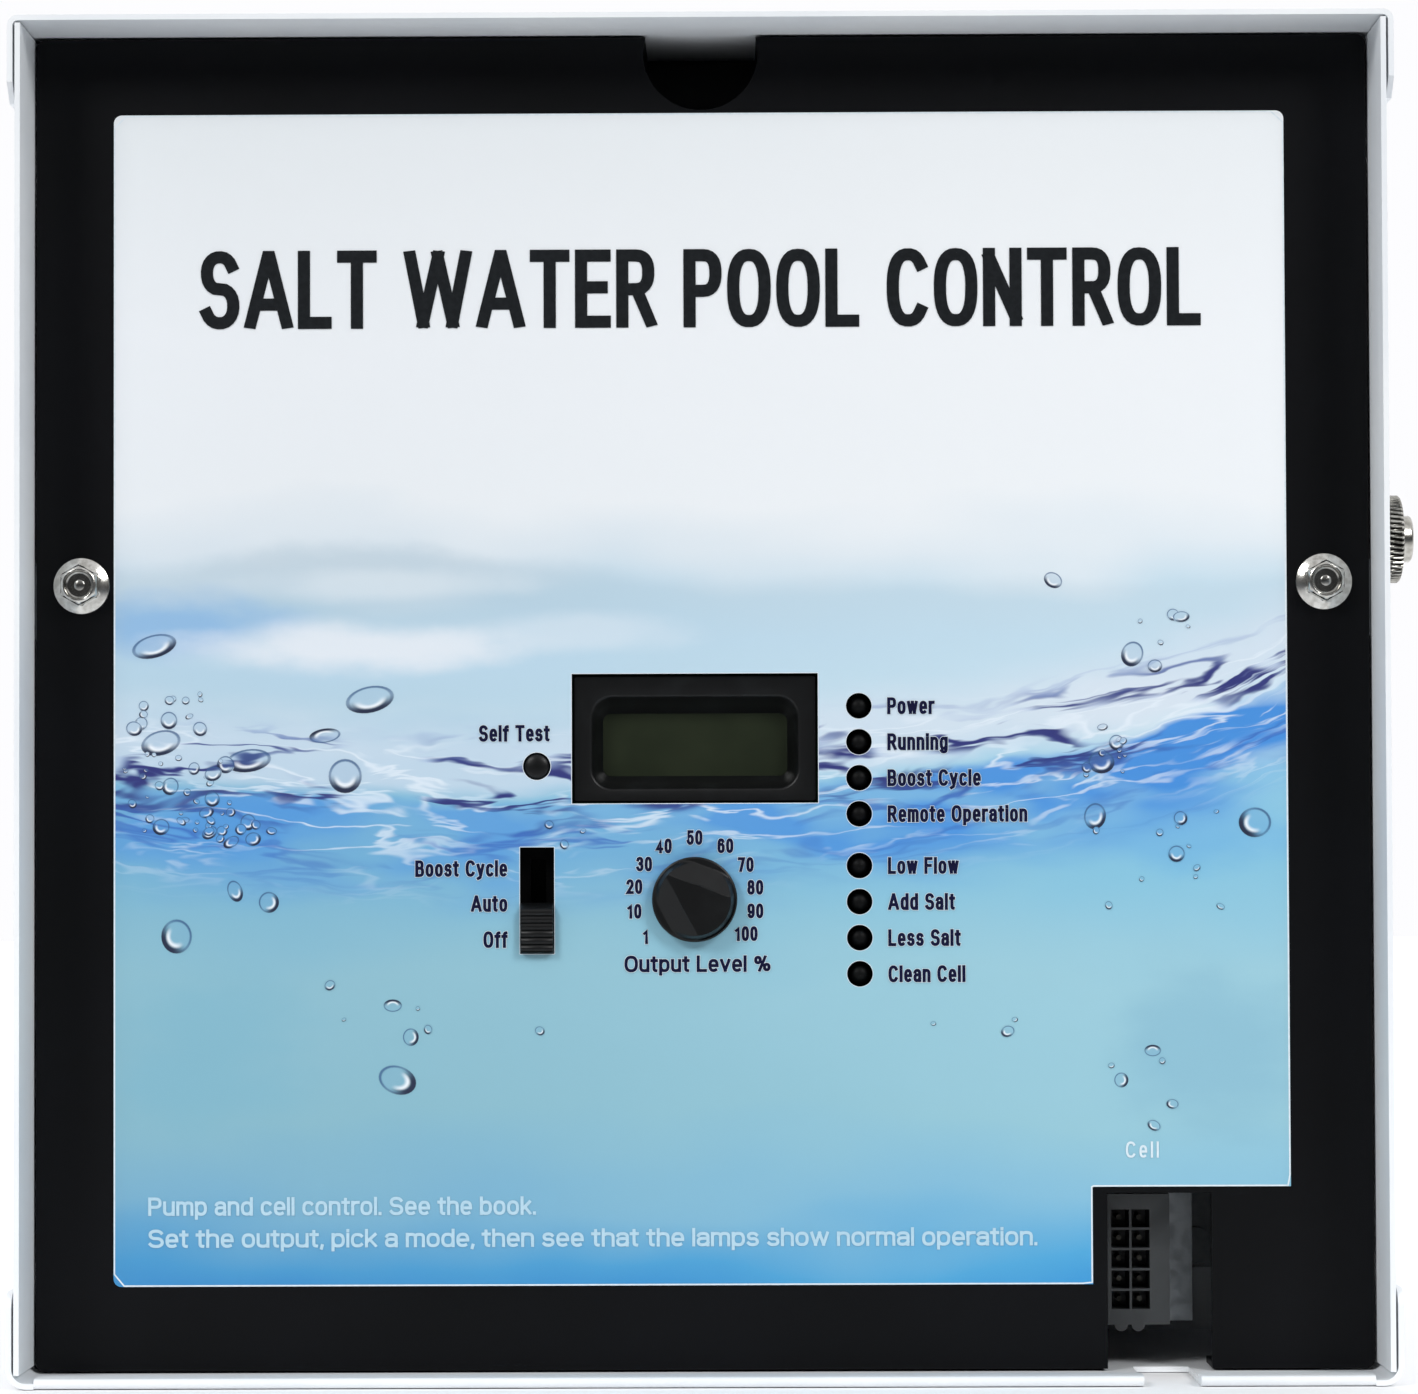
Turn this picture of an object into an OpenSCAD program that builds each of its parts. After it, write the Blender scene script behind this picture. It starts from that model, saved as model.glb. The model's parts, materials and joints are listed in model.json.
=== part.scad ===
// Wall-mounted control box of a salt chlorine generator.
// Origin: centre of the rear mounting face. +X right, +Z up, the front looks along -Y.

/* [Enclosure] */
// Outer width over the side walls
box_w = 300; // [260:1:400]
// Outer height over the top and bottom plates
box_h = 300; // [280:1:400]
// Outer depth from the wall to the front edge
box_d = 120; // [105:1:180]
// Sheet steel thickness of the enclosure
sheet = 1.2; // [1:0.1:1.6]
// Side gap between a wall and the flange outside it
cap_gap = 0.5; // [0.1:0.1:0.6]
// Height of the top cap's outside flanges
top_flange_h = 19; // [14:1:30]
// Height of the bottom cap's outside flanges
bottom_flange_h = 21; // [14:1:30]
// Outer bend radius of the top cap's corners
top_bend_r = 2.4; // [2:0.1:4]
// Outer bend radius of the bottom cap's corners
bottom_bend_r = 4.4; // [2:0.1:6]
// Outer bend radius of the rear vertical corners
wall_bend_r = 3; // [2:0.5:6]
// Thickness of the rolled front hem of the bottom cap
hem_t = 2.2; // [1.8:0.1:3]
// Depth of the rolled front hem
hem_d = 8; // [5:1:15]
// Diameter of the rivets and their holes
rivet_d = 4; // [3:0.5:5]

/* [Wall fixing] */
// Distance between the wall holes, across
wall_hole_w = 270; // [200:1:270]
// Distance between the wall holes, up and down
wall_hole_h = 270; // [200:1:270]
// Diameter of the wall holes
wall_hole_d = 6.5; // [5:0.5:9]

/* [Bottom openings] */
// Width of the cord notch in the bottom cap's front edge
cord_notch_w = 12.4; // [8:0.1:20]
// Depth of the cord notch from the front edge
cord_notch_d = 30; // [15:1:40]
// Place of the cord notch's middle, from the centre line
cord_notch_x = 101.6; // [60:0.1:110]
// Diameter of the small conduit knockouts
knockout_small_d = 22.4; // [20:0.1:24]
// Diameter of the large conduit knockout
knockout_large_d = 28.2; // [26:0.1:30]
// Width of the slit around a knockout disc
knockout_slit = 0.4; // [0.2:0.1:0.8]

/* [Inner panel] */
// Depth of the panel's face behind the enclosure's front edge
panel_recess = 21; // [12:1:30]
// Panel sheet thickness
panel_t = 1.5; // [1:0.1:2]
// Gap between the panel's edge and the enclosure all round
panel_gap = 0.5; // [0.3:0.1:1]
// Corner radius of the panel
panel_corner_r = 2; // [1:0.5:5]
// Depth of the stiffening flanges along the panel's top and bottom
panel_flange = 12; // [6:1:20]
// Radius of the finger notch in the panel's top edge
notch_r = 12.8; // [10:0.1:16]
// Height of the finger notch's centre below the panel's top edge
notch_drop = 3.6; // [1:0.1:6]
// Depth of the cup behind the finger notch
pocket_d = 28; // [12:1:40]
// Wall thickness of the cup
pocket_wall = 1.2; // [1:0.1:2]
// Width of the cut-out for the cell plug
socket_gap_w = 23.1; // [16:0.1:30]
// Place of the cut-out's left edge, from the centre line
socket_gap_x = 89.2; // [80:0.1:110]
// Height of the cut-out above the panel's bottom edge
socket_gap_h = 38.8; // [30:0.1:50]

/* [Label] */
// Width of the printed overlay
label_w = 260.9; // [220:0.1:261]
// Height of the printed overlay
label_h = 260.8; // [220:0.1:261]
// Thickness of the printed overlay
label_t = 0.35; // [0.2:0.05:0.8]
// Corner radius of the overlay
label_corner_r = 1.8; // [1:0.1:4]
// Width of the step cut out of the overlay beside the cell plug
label_step_w = 43.9; // [30:0.1:60]
// Height of that step
label_step_h = 21.5; // [10:0.1:40]

/* [Display window] */
// Width of the display window
window_w = 54.7; // [50:0.1:60]
// Height of the display window
window_h = 28.8; // [26:0.1:32]
// Place of the window's middle, across
window_x = -1.75; // [-10:0.05:10]
// Place of the window's middle, up
window_z = -8.4; // [-20:0.1:10]
// Width of the visible glass
glass_w = 41.5; // [36:0.1:44]
// Height of the visible glass
glass_h = 14.2; // [12:0.1:18]
// Height of the visible glass below the window's middle
glass_drop = 1.2; // [0:0.1:2]
// Depth of the display glass behind the panel's face
glass_recess = 7; // [4:0.5:9]

/* [Indicator lamps] */
// Diameter of the lamp holes
lamp_hole_d = 5.7; // [5.3:0.1:6.5]
// Diameter of a lamp
lamp_d = 5; // [4:0.1:5]
// Place of the lamps, across
lamp_x = 34.7; // [30:0.1:40]
// Height of the top lamp
lamp_z = -1.3; // [-10:0.1:5]
// Distance between lamps in a group of four
lamp_pitch = 8; // [7:0.1:9]
// Distance between the last lamp of the first group and the first of the second
lamp_group_gap = 11.5; // [9:0.1:16]

/* [Output knob] */
// Diameter of the knob
knob_d = 18.9; // [15:0.1:22]
// Height of the knob's skirt
knob_skirt_h = 2.6; // [2:0.1:4]
// Height of the knob with its pointer
knob_h = 5.6; // [4:0.1:9]
// Place of the knob, across
knob_x = -1.9; // [-6:0.1:6]
// Height of the knob's centre
knob_z = -44.2; // [-50:0.1:-40]
// Direction of the pointer at rest, anticlockwise from the right
knob_rest_angle = 139; // [-33:1:218]
// Diameter of the potentiometer's shaft
shaft_d = 6; // [5:0.1:6.5]
// Radial clearance of the shaft in its bushing
shaft_clear = 0.05; // [0.02:0.01:0.1]

/* [Mode switch] */
// Width of the slot
slot_w = 7.6; // [6:0.1:10]
// Length of the slot
slot_l = 23.65; // [20:0.05:30]
// Place of the slot's middle, across
slot_x = -36.9; // [-40:0.1:-34]
// Height of the slot's lower end
slot_z = -56.15; // [-58:0.05:-50]
// Gap between the slider and the slot's long sides
slider_gap = 0.2; // [0.1:0.05:0.3]
// Length of the slider's button
slider_l = 11.2; // [8:0.1:14]
// Height of the slider above the overlay
slider_h = 2.2; // [1:0.1:4]

/* [Diagnostics button] */
// Diameter of the button
button_d = 5.5; // [4:0.1:7]
// Radial clearance of the button in its hole
button_clear = 0.3; // [0.2:0.05:0.5]
// Height of the button's centre
button_z = -14.5; // [-18:0.1:-10]
// Travel of the button
button_travel = 1.5; // [1:0.1:2]

/* [Cell socket] */
// Width of the socket
socket_w = 13.9; // [12:0.1:16]
// Height of the socket
socket_h = 29.2; // [24.3:0.1:35.1]
// Depth of the socket
socket_d = 20; // [14:1:26]
// Distance of the socket's mouth behind the panel's face
socket_set_back = 12; // [4:1:20]
// Distance between contacts
contact_pitch = 4.55; // [4:0.05:5]
// Width of one contact chamber
contact_cell = 4.05; // [3.5:0.05:4.3]

/* [Cover fixing] */
// Diameter of the knurled thumb nut
nut_d = 19.7; // [15:0.1:24]
// Thickness of the nut's knurled disc
nut_disc_t = 5; // [3:0.1:8]
// Diameter of the nut's plain boss
nut_boss_d = 10.5; // [9:0.1:14]
// Length of the nut's plain boss
nut_boss_l = 2.5; // [1.5:0.1:6]
// Diameter of the threaded stud
stud_d = 5; // [4:0.1:6]
// Thickness of the nylon washer
thumb_washer_t = 1.4; // [1:0.1:2]
// Distance of the stud behind the front edge
stud_depth = 30; // [24:1:40]
// Height of the stud
stud_z = 36; // [33:1:80]

/* [Transformer] */
// Outer diameter of the ring core transformer
coil_d = 104; // [80:1:110]
// Diameter of its centre hole
coil_hole_d = 30; // [20:1:40]
// Height of the winding
coil_h = 48; // [30:1:58]

/* [Main board] */
// Width of the main board
board_w = 186; // [170:1:186]
// Height of the main board
board_h = 98; // [90:1:98]
// Thickness of both circuit boards
board_t = 1.6; // [1.2:0.1:2]
// Height of the main board's standoffs
standoff_h = 10; // [6:1:14]

/* [Hidden] */
$fn = 48;

// Walls of the enclosure
half_w = box_w / 2;
half_h = box_h / 2;
wall_in = half_w - sheet;
plate_in = half_h - sheet;
flange_in = half_w + cap_gap;
flange_out = flange_in + sheet;
back_in = -sheet;
front_y = -box_d;

// Rear flanges of the caps lie inside the back, between the wall holes
rear_flange_h = 15;
rear_flange_half = wall_hole_w / 2 - wall_hole_d / 2 - 4;

// Depths of the inner panel and what it carries
panel_y = front_y + panel_recess;
panel_back = panel_y + panel_t;
label_y = panel_y - label_t;
glass_y = panel_y + glass_recess;
glass_t = 1.2;
display_y = panel_back + 13.5;
display_back = display_y + board_t;
panel_half_w = wall_in - panel_gap;
panel_half_h = plate_in - panel_gap;
notch_z = panel_half_h - notch_drop;

// The overlay sits a little to the left and above the middle of the panel
label_x0 = -label_w / 2 - 0.55;
label_z0 = -label_h / 2 + 0.8;

// Display board outline and its four fixings
display_x0 = -48;
display_x1 = 44;
display_z0 = -72;
display_z1 = 13;
display_fix = [
    for (x = [display_x0 + 4, display_x1 - 4])
        for (z = [display_z0 + 4, display_z1 - 4]) [x, z]
];
display_screw_d = 3;

// Lamp heights, two groups of four
lamp_heights = [
    for (g = [0, 1])
        for (i = [0:3]) lamp_z - g * (3 * lamp_pitch + lamp_group_gap) - i * lamp_pitch
];
lamp_tip_y = label_y + 0.7;
lamp_flange_y = lamp_tip_y + 7.6;
lamp_flange_d = lamp_d + 0.8;

// Knob and slider
knob_lift = 0.5;
knob_y = label_y - knob_lift;
knob_top_y = knob_y - knob_h;
knob_skin = 1.4;
pot_y = display_y - 7;
bushing_d = 8;
slider_w = slot_w - 2 * slider_gap;
slider_end_gap = 0.15;
switch_face_y = display_y - 8;
track_floor_y = switch_face_y + 4.3;
slider_stem_w = 3;
slider_travel = slot_l - slider_l - 2 * slider_end_gap;

// Button
button_front_y = label_y - 0.6;
button_back_y = button_front_y + 6.5;
button_dome_r = 6;
button_switch_y = display_y - 4;
stem_d = 2.4;
spring_wire_d = 0.5;

// Panel screws
screw_x = 138.2;
screw_z = 26;
screw_d = 5;
screw_hole_d = 5.6;
thread_clear = 0.05;
bracket_t = 2;
bracket_low = 12;
bracket_high = 5;
bracket_foot = 20;
bracket_rivet_y = panel_back + 14;
bracket_rivet_z = [screw_z - 9.5, screw_z + 2.5];
nut_af = 8;
nut_t = 4;

// Socket and its bracket
socket_x0 = socket_gap_x + 1;
socket_z1 = -panel_half_h + socket_gap_h - 1;
socket_y = panel_y + socket_set_back;
socket_back = socket_y + socket_d;
socket_bracket_t = 1.2;
socket_bracket_x1 = socket_x0 + socket_w + 7;
socket_foot_w = 14;
contact_x = socket_x0 + 0.85 + contact_cell / 2;
contact_z = socket_z1 - socket_h / 2;
contact_d = 1.2;
contact_chamber_d = 11;

// The foot stands above the bottom cap's rear flange
socket_foot_z0 = max(socket_z1 - socket_h - 1, -plate_in + rear_flange_h + 1);
socket_foot_screws = [socket_foot_z0 + 5, socket_z1 - 4];

// Centres of the ten contact chambers
contacts = [
    for (c = [0, 1])
        for (r = [-2:2]) [contact_x + c * contact_pitch, contact_z + r * contact_pitch]
];

// Thumb nut
stud_y = front_y + stud_depth;
nut_x0 = half_w + thumb_washer_t;
nut_x1 = nut_x0 + nut_disc_t + nut_boss_l;

// Transformer
coil_x = -75;
coil_z = 58;
pad_t = 2;
clamp_plate_t = 2;
coil_back = back_in - pad_t;
coil_front = coil_back - coil_h;
clamp_bolt_d = 8;

// Main board
board_x0 = -122;
board_z0 = -114;
board_back = back_in - standoff_h;
board_front = board_back - board_t;
board_fix = [
    for (x = [5, board_w / 2, board_w - 5])
        for (z = [5, board_h - 5]) [board_x0 + x, board_z0 + z]
];
board_screw_d = 4;

// Components, from the main board's lower left corner; each block is [x, z, width, height, tallness]
chip_blocks = [[62, 32, 10, 36, 4], [80, 46, 34, 8, 4], [80, 58, 20, 7, 4]];
relay_block = [14, 26, 29, 12.6, 25];
relay_pitch = 16;
cap_x = 170;
cap_z = 22;
cap_d = 22;
cap_tall = 40;
cap_pitch = 26;
varistor_x = 56;
varistor_z = 24;
varistor_d = 14;
varistor_t = 4;
varistor_lift = 9;
varistor_pitch = 12;
fuse_d = 6.3;
fuse_l = 32;
fuse_x = 56;
fuse_z = 8;
fuse_lift = 7;
clip_w = 7;
clip_t = 0.8;
terminal_x = 12;
terminal_z = 1;
terminal_ways = 5;
terminal_pitch = 8;
terminal_tall = 15;
terminal_screw_z = 9;
terminal_wire_z = 5;
sink_x = 66;
sink_w = 80;
sink_z = 72;
sink_base = 3;
sink_tall = 31;
rectifier_w = 22;
rectifier_t = 5;
rectifier_tall = 22;
rectifier_lift = 5;
rectifier_first_x = 20;
rectifier_pitch = 40;
rectifier_screw_lift = 20;
rectifier_screw_d = 4;

// Flat cable between the two boards
header_w = 30;
header_h = 8;
header_d = 9;
ribbon_w = 25;
ribbon_t = 1;
ribbon_x = 0;
ribbon_bend_r = 6;
display_header_z = 4;
board_header_z = -92;

// Earth bar
ground_x0 = -100;
ground_z = -124;
ground_w = 46;
ground_d = 8;
ground_ways = [for (i = [0:3]) ground_x0 + 8 + i * 10];

// Conduit knockouts: place across, and diameter
knockout_y = -box_d / 2 + 10;
knockouts = [
    [-95, knockout_large_d],
    [-45, knockout_small_d],
    [0, knockout_small_d],
    [45, knockout_small_d]
];
knockout_bridge_w = 3;

// Rivet places
rivet_head_t = 0.4;
rivet_head_d = rivet_d + 1.4;
flange_rivet_y = [-16, -box_d / 2 + 10, -(box_d - 34)];
back_rivet_x = [-90, 0, 90];
rivet_inset = 9;

// ---- Shared shapes ----

// Block between two opposite corners
module block(low, high) {
    translate(low) cube(high - low);
}

// Round bar along Y from depth y0 to the deeper y1
module bar_y(x, z, y0, y1, d) {
    translate([x, y0, z]) rotate([-90, 0, 0]) cylinder(h = y1 - y0, d = d);
}

// Round bar along X from x0 to x1
module bar_x(y, z, x0, x1, d) {
    translate([x0, y, z]) rotate([0, 90, 0]) cylinder(h = x1 - x0, d = d);
}

// Flat outline, drawn in X and Z, given a thickness from depth y0 to the deeper y1
module slab(y0, y1) {
    translate([0, y1, 0]) rotate([90, 0, 0]) linear_extrude(y1 - y0) children();
}

// Rectangle between two corners with round corners
module round_rect(x0, z0, x1, z1, r) {
    translate([x0 + r, z0]) square([x1 - x0 - 2 * r, z1 - z0]);
    translate([x0, z0 + r]) square([x1 - x0, z1 - z0 - 2 * r]);
    for (x = [x0 + r, x1 - r]) for (z = [z0 + r, z1 - r]) translate([x, z]) circle(r = r);
}

// Rectangle of width w from z0 up to z1, with its two upper corners round
module arch(w, z0, z1, r) {
    translate([-w / 2, z0]) square([w, z1 - r - z0]);
    translate([-w / 2 + r, z0]) square([w - 2 * r, z1 - z0]);
    for (side = [-1, 1]) translate([side * (w / 2 - r), z1 - r]) circle(r = r);
}

// Hexagonal bar along Y, flats at af apart
module hex_y(x, z, y0, y1, af) {
    translate([x, y0, z]) rotate([-90, 0, 0]) cylinder(h = y1 - y0, d = af / cos(30), $fn = 6);
}

function unit(v) = v / norm(v);

// Direction of a route at point i: the mean of the runs that meet there
function heading(points, i) =
    i == 0 ? unit(points[1] - points[0]) :
    i == len(points) - 1 ? unit(points[i] - points[i - 1]) :
    unit(unit(points[i + 1] - points[i]) + unit(points[i] - points[i - 1]));

// Ring of a wire of diameter d around point i, square to its heading
function wire_ring(points, i, d, side, sides) =
    let (ahead = heading(points, i), u = unit(cross(ahead, side)), v = cross(ahead, u))
    [for (k = [0:sides - 1]) points[i] + d / 2 * (cos(k * 360 / sides) * u + sin(k * 360 / sides) * v)];

// Wire that follows a list of points; side is a direction that no run is parallel to
module wire(points, d, side) {
    sides = 8;
    last = len(points) - 1;
    rings = [for (i = [0:last]) each wire_ring(points, i, d, side, sides)];
    walls = [for (i = [0:last - 1]) for (k = [0:sides - 1])
        let (a = i * sides + k, b = i * sides + (k + 1) % sides) [a, b, b + sides, a + sides]];
    start = [for (k = [0:sides - 1]) sides - 1 - k];
    end = [for (k = [0:sides - 1]) last * sides + k];
    polyhedron(rings, concat([start, end], walls));
}

// ---- Enclosure ----

// Where a side wall ends, so that it clears the inside of a cap's bend
function wall_end(bend_r) =
    let (r = bend_r - sheet)
    plate_in - r + sqrt(max(0, pow(r, 2) - pow(r - cap_gap, 2))) - 0.3;

module rivet_holes() {
    for (z = [half_h - rivet_inset, -half_h + rivet_inset])
        for (y = flange_rivet_y) bar_x(y, z, -flange_out - 1, flange_out + 1, rivet_d);
    for (z = [plate_in - rivet_inset, -plate_in + rivet_inset])
        for (x = back_rivet_x) bar_y(x, z, -4 * sheet, 1, rivet_d);
    for (side = [-1, 1]) for (z = bracket_rivet_z)
        bar_x(bracket_rivet_y, z, side * wall_in - 6, side * wall_in + 6, rivet_d);
}

module enclosure_body() {
    color("white") difference() {
        translate([0, 0, -plate_in]) linear_extrude(2 * plate_in) difference() {
            arch(box_w, front_y, 0, wall_bend_r);
            arch(box_w - 2 * sheet, front_y - 1, back_in, wall_bend_r - sheet);
        }
        // Side walls stop short of the bends of the two caps
        for (side = [-1, 1]) {
            translate([side * half_w, 0, 0]) block(
                [-wall_bend_r, front_y - 1, wall_end(top_bend_r)], [wall_bend_r, 1, half_h]);
            translate([side * half_w, 0, 0]) block(
                [-wall_bend_r, front_y - 1, -half_h], [wall_bend_r, 1, -wall_end(bottom_bend_r)]);
        }
        for (x = [-1, 1]) for (z = [-1, 1])
            bar_y(x * wall_hole_w / 2, z * wall_hole_h / 2, -2 * sheet, 1, wall_hole_d);
        rivet_holes();
        bar_x(stud_y, stud_z, half_w - 3 * sheet, half_w + 1, stud_d);
    }
}

// Plate with two outside flanges and a rear flange; drawn for the top and turned over for the bottom
module cap(flange_h, bend_r) {
    slab(front_y, 0) difference() {
        arch(2 * flange_out, half_h - flange_h, half_h, bend_r);
        arch(2 * flange_in, half_h - flange_h - 1, plate_in, bend_r - sheet);
    }
    block([-rear_flange_half, back_in - sheet, plate_in - rear_flange_h],
        [rear_flange_half, back_in, plate_in + sheet / 2]);
}

module top_cap() {
    corner_cut = 6;
    color("white") difference() {
        cap(top_flange_h, top_bend_r);
        // The flanges' front lower corners are cut on the slant
        translate([0, front_y, half_h - top_flange_h]) rotate([45, 0, 0])
            cube([3 * box_w, corner_cut, corner_cut], center = true);
        rivet_holes();
    }
}

module bottom_cap() {
    corner_r = 4;
    hem_half_w = half_w - bottom_bend_r;
    hem_y = front_y + hem_t / 2;
    hem_z = -half_h + hem_t / 2;
    flange_top = -half_h + bottom_flange_h;
    color("white") difference() {
        union() {
            mirror([0, 0, 1]) cap(bottom_flange_h, bottom_bend_r);
            // Rolled hem: the front edge is folded back on the plate
            block([-hem_half_w, hem_y, -half_h], [hem_half_w, front_y + hem_d, -half_h + hem_t]);
            bar_x(hem_y, hem_z, -hem_half_w, hem_half_w, hem_t);
        }
        // Square edge of the plate in front of the roll
        difference() {
            block([-hem_half_w, front_y - 1, -half_h - 1], [hem_half_w, hem_y, -half_h + hem_t]);
            bar_x(hem_y, hem_z, -half_w, half_w, hem_t);
        }
        // The flanges' front upper corners are round
        difference() {
            block([-box_w, front_y - 1, flange_top - corner_r], [box_w, front_y + corner_r, flange_top + 1]);
            bar_x(front_y + corner_r, flange_top - corner_r, -box_w, box_w, 2 * corner_r);
        }
        translate([cord_notch_x, 0, 0]) block([-cord_notch_w / 2, front_y - 1, -half_h - 1],
            [cord_notch_w / 2, front_y + cord_notch_d, -plate_in + hem_t]);
        for (k = knockouts) translate([k[0], knockout_y, -half_h - 1]) cylinder(h = sheet + 2, d = k[1]);
        rivet_holes();
    }
}

// A knocked-out disc held by two small bridges
module knockout(x, d) {
    translate([x, knockout_y, -half_h]) {
        cylinder(h = sheet, d = d - 2 * knockout_slit);
        intersection() {
            cylinder(h = sheet, d = d);
            translate([-d, -knockout_bridge_w / 2, 0]) cube([2 * d, knockout_bridge_w, sheet]);
        }
    }
}

module conduit_knockouts() {
    color("white") for (k = knockouts) knockout(k[0], k[1]);
}

// Flush rivet through a wall and its flange, with a thin head inside
module side_rivet(side, y, z, reach) {
    mirror([side < 0 ? 1 : 0, 0, 0]) {
        bar_x(y, z, wall_in, wall_in + reach, rivet_d);
        bar_x(y, z, wall_in - rivet_head_t, wall_in, rivet_head_d);
    }
}

module rivets() {
    color("gainsboro") {
        for (side = [-1, 1]) for (z = [half_h - rivet_inset, -half_h + rivet_inset])
            for (y = flange_rivet_y) side_rivet(side, y, z, flange_out - wall_in);
        for (z = [plate_in - rivet_inset, -plate_in + rivet_inset]) for (x = back_rivet_x) {
            bar_y(x, z, back_in - sheet, 0, rivet_d);
            bar_y(x, z, back_in - sheet - rivet_head_t, back_in - sheet, rivet_head_d);
        }
        for (side = [-1, 1]) for (z = bracket_rivet_z) mirror([side < 0 ? 1 : 0, 0, 0]) {
            bar_x(bracket_rivet_y, z, wall_in - bracket_t, half_w, rivet_d);
            bar_x(bracket_rivet_y, z, wall_in - bracket_t - rivet_head_t, wall_in - bracket_t, rivet_head_d);
        }
    }
}

// ---- Inner panel and overlay ----

module window_outline(grow) {
    translate([window_x - window_w / 2 - grow, window_z - window_h / 2 - grow])
        square([window_w + 2 * grow, window_h + 2 * grow]);
}

module slot_outline() {
    translate([slot_x - slot_w / 2, slot_z]) square([slot_w, slot_l]);
}

// Holes that both the panel and its overlay have
module control_holes() {
    window_outline(0);
    slot_outline();
    for (z = lamp_heights) translate([lamp_x, z]) circle(d = lamp_hole_d);
    translate([slot_x, button_z]) circle(d = button_d + 2 * button_clear);
    translate([knob_x, knob_z]) circle(d = bushing_d + 1);
}

module panel_notches() {
    translate([0, notch_z]) circle(r = notch_r);
    translate([socket_gap_x, -panel_half_h - 1]) square([socket_gap_w, socket_gap_h + 1]);
}

module inner_panel() {
    flange_end = 12;
    color([0.07, 0.07, 0.08]) {
        slab(panel_y, panel_back) difference() {
            round_rect(-panel_half_w, -panel_half_h, panel_half_w, panel_half_h, panel_corner_r);
            panel_notches();
            control_holes();
            for (side = [-1, 1]) translate([side * screw_x, screw_z]) circle(d = screw_hole_d);
        }
        // Stiffening flanges along the top and bottom edges
        slab(panel_back, panel_back + panel_flange) difference() {
            for (side = [-1, 1]) translate([0, side * (panel_half_h - panel_t / 2)])
                square([2 * (panel_half_w - flange_end), panel_t], center = true);
            translate([0, notch_z]) circle(r = notch_r + pocket_wall + 0.3);
            translate([socket_gap_x, -panel_half_h - 1]) square([socket_gap_w, socket_gap_h]);
        }
    }
}

module finger_pocket() {
    color([0.06, 0.06, 0.07]) {
        slab(panel_back, panel_back + pocket_d) difference() {
            translate([0, notch_z]) circle(r = notch_r + pocket_wall);
            translate([0, notch_z]) circle(r = notch_r);
            translate([-box_w / 2, panel_half_h]) square([box_w, 50]);
        }
        slab(panel_back + pocket_d, panel_back + pocket_d + pocket_wall) difference() {
            translate([0, notch_z]) circle(r = notch_r + pocket_wall);
            translate([-box_w / 2, panel_half_h]) square([box_w, 50]);
        }
    }
}

module front_label() {
    color("lightblue") slab(label_y, panel_y) difference() {
        round_rect(label_x0, label_z0, label_x0 + label_w, label_z0 + label_h, label_corner_r);
        translate([label_x0 + label_w - label_step_w, label_z0 - 1])
            square([label_step_w + 1, label_step_h + 1]);
        control_holes();
    }
}

module panel_brackets() {
    z0 = screw_z - bracket_low;
    z1 = screw_z + bracket_high;
    tab_y = panel_back + bracket_t;
    color("gainsboro") for (side = [-1, 1]) mirror([side < 0 ? 1 : 0, 0, 0]) difference() {
        union() {
            block([screw_x - nut_af, panel_back, z0], [wall_in, tab_y, z1]);
            block([wall_in - bracket_t, panel_back, z0], [wall_in, panel_back + bracket_foot, z1]);
        }
        bar_y(screw_x, screw_z, panel_back - 1, tab_y + 1, screw_hole_d);
        for (z = bracket_rivet_z) bar_x(bracket_rivet_y, z, wall_in - 6, wall_in + 6, rivet_d);
    }
}

module bracket_nuts() {
    back = panel_back + bracket_t;
    color("silver") for (side = [-1, 1]) difference() {
        hex_y(side * screw_x, screw_z, back, back + nut_t, nut_af);
        bar_y(side * screw_x, screw_z, back - 1, back + nut_t + 1, screw_d + 2 * thread_clear);
    }
}

module panel_screws() {
    flange_d = 12.5;
    flange_t = 1.3;
    head_h = 5.6;
    dimple_d = 6.6;
    dimple_depth = 0.7;
    color("silver") for (side = [-1, 1]) {
        difference() {
            union() {
                bar_y(side * screw_x, screw_z, panel_y - flange_t, panel_y, flange_d);
                hex_y(side * screw_x, screw_z, panel_y - head_h, panel_y - flange_t, nut_af);
            }
            bar_y(side * screw_x, screw_z, panel_y - head_h - 1, panel_y - head_h + dimple_depth, dimple_d);
        }
        bar_y(side * screw_x, screw_z, panel_y, panel_back + bracket_t + nut_t + 2, screw_d);
    }
}

// ---- Display ----

module lcd_bezel() {
    gap = 0.4;
    set_back = 0.9;
    lip = 2.5;
    lip_t = 1.2;
    mouth_w = 46.2;
    mouth_h = 20.8;
    mouth_drop = 0.9;
    color([0.05, 0.05, 0.06]) difference() {
        union() {
            slab(panel_y + set_back, panel_back) window_outline(-gap);
            slab(panel_back, panel_back + lip_t) window_outline(lip);
            slab(panel_back + lip_t, glass_y + glass_t) window_outline(-gap);
        }
        // Sloped mouth that narrows towards the glass
        hull() {
            slab(panel_y, panel_y + set_back + 0.01) translate([window_x, window_z - mouth_drop])
                round_rect(-mouth_w / 2, -mouth_h / 2, mouth_w / 2, mouth_h / 2, 4.5, $fn = 32);
            slab(glass_y, glass_y + 0.01) translate([window_x, window_z - glass_drop])
                round_rect(-glass_w / 2, -glass_h / 2, glass_w / 2, glass_h / 2, 2, $fn = 32);
        }
        // Seat of the glass
        slab(glass_y, glass_y + glass_t + 1) translate([window_x, window_z - glass_drop])
            square([glass_w + 4, glass_h + 4], center = true);
    }
}

module lcd_glass() {
    color([0.2, 0.22, 0.17]) slab(glass_y, glass_y + glass_t) translate([window_x, window_z - glass_drop])
        square([glass_w + 3.8, glass_h + 3.8], center = true);
}

module lcd_module() {
    color("darkgray") slab(glass_y + glass_t, display_y) translate([window_x, window_z])
        square([window_w - 4, window_h - 4], center = true);
}

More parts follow.
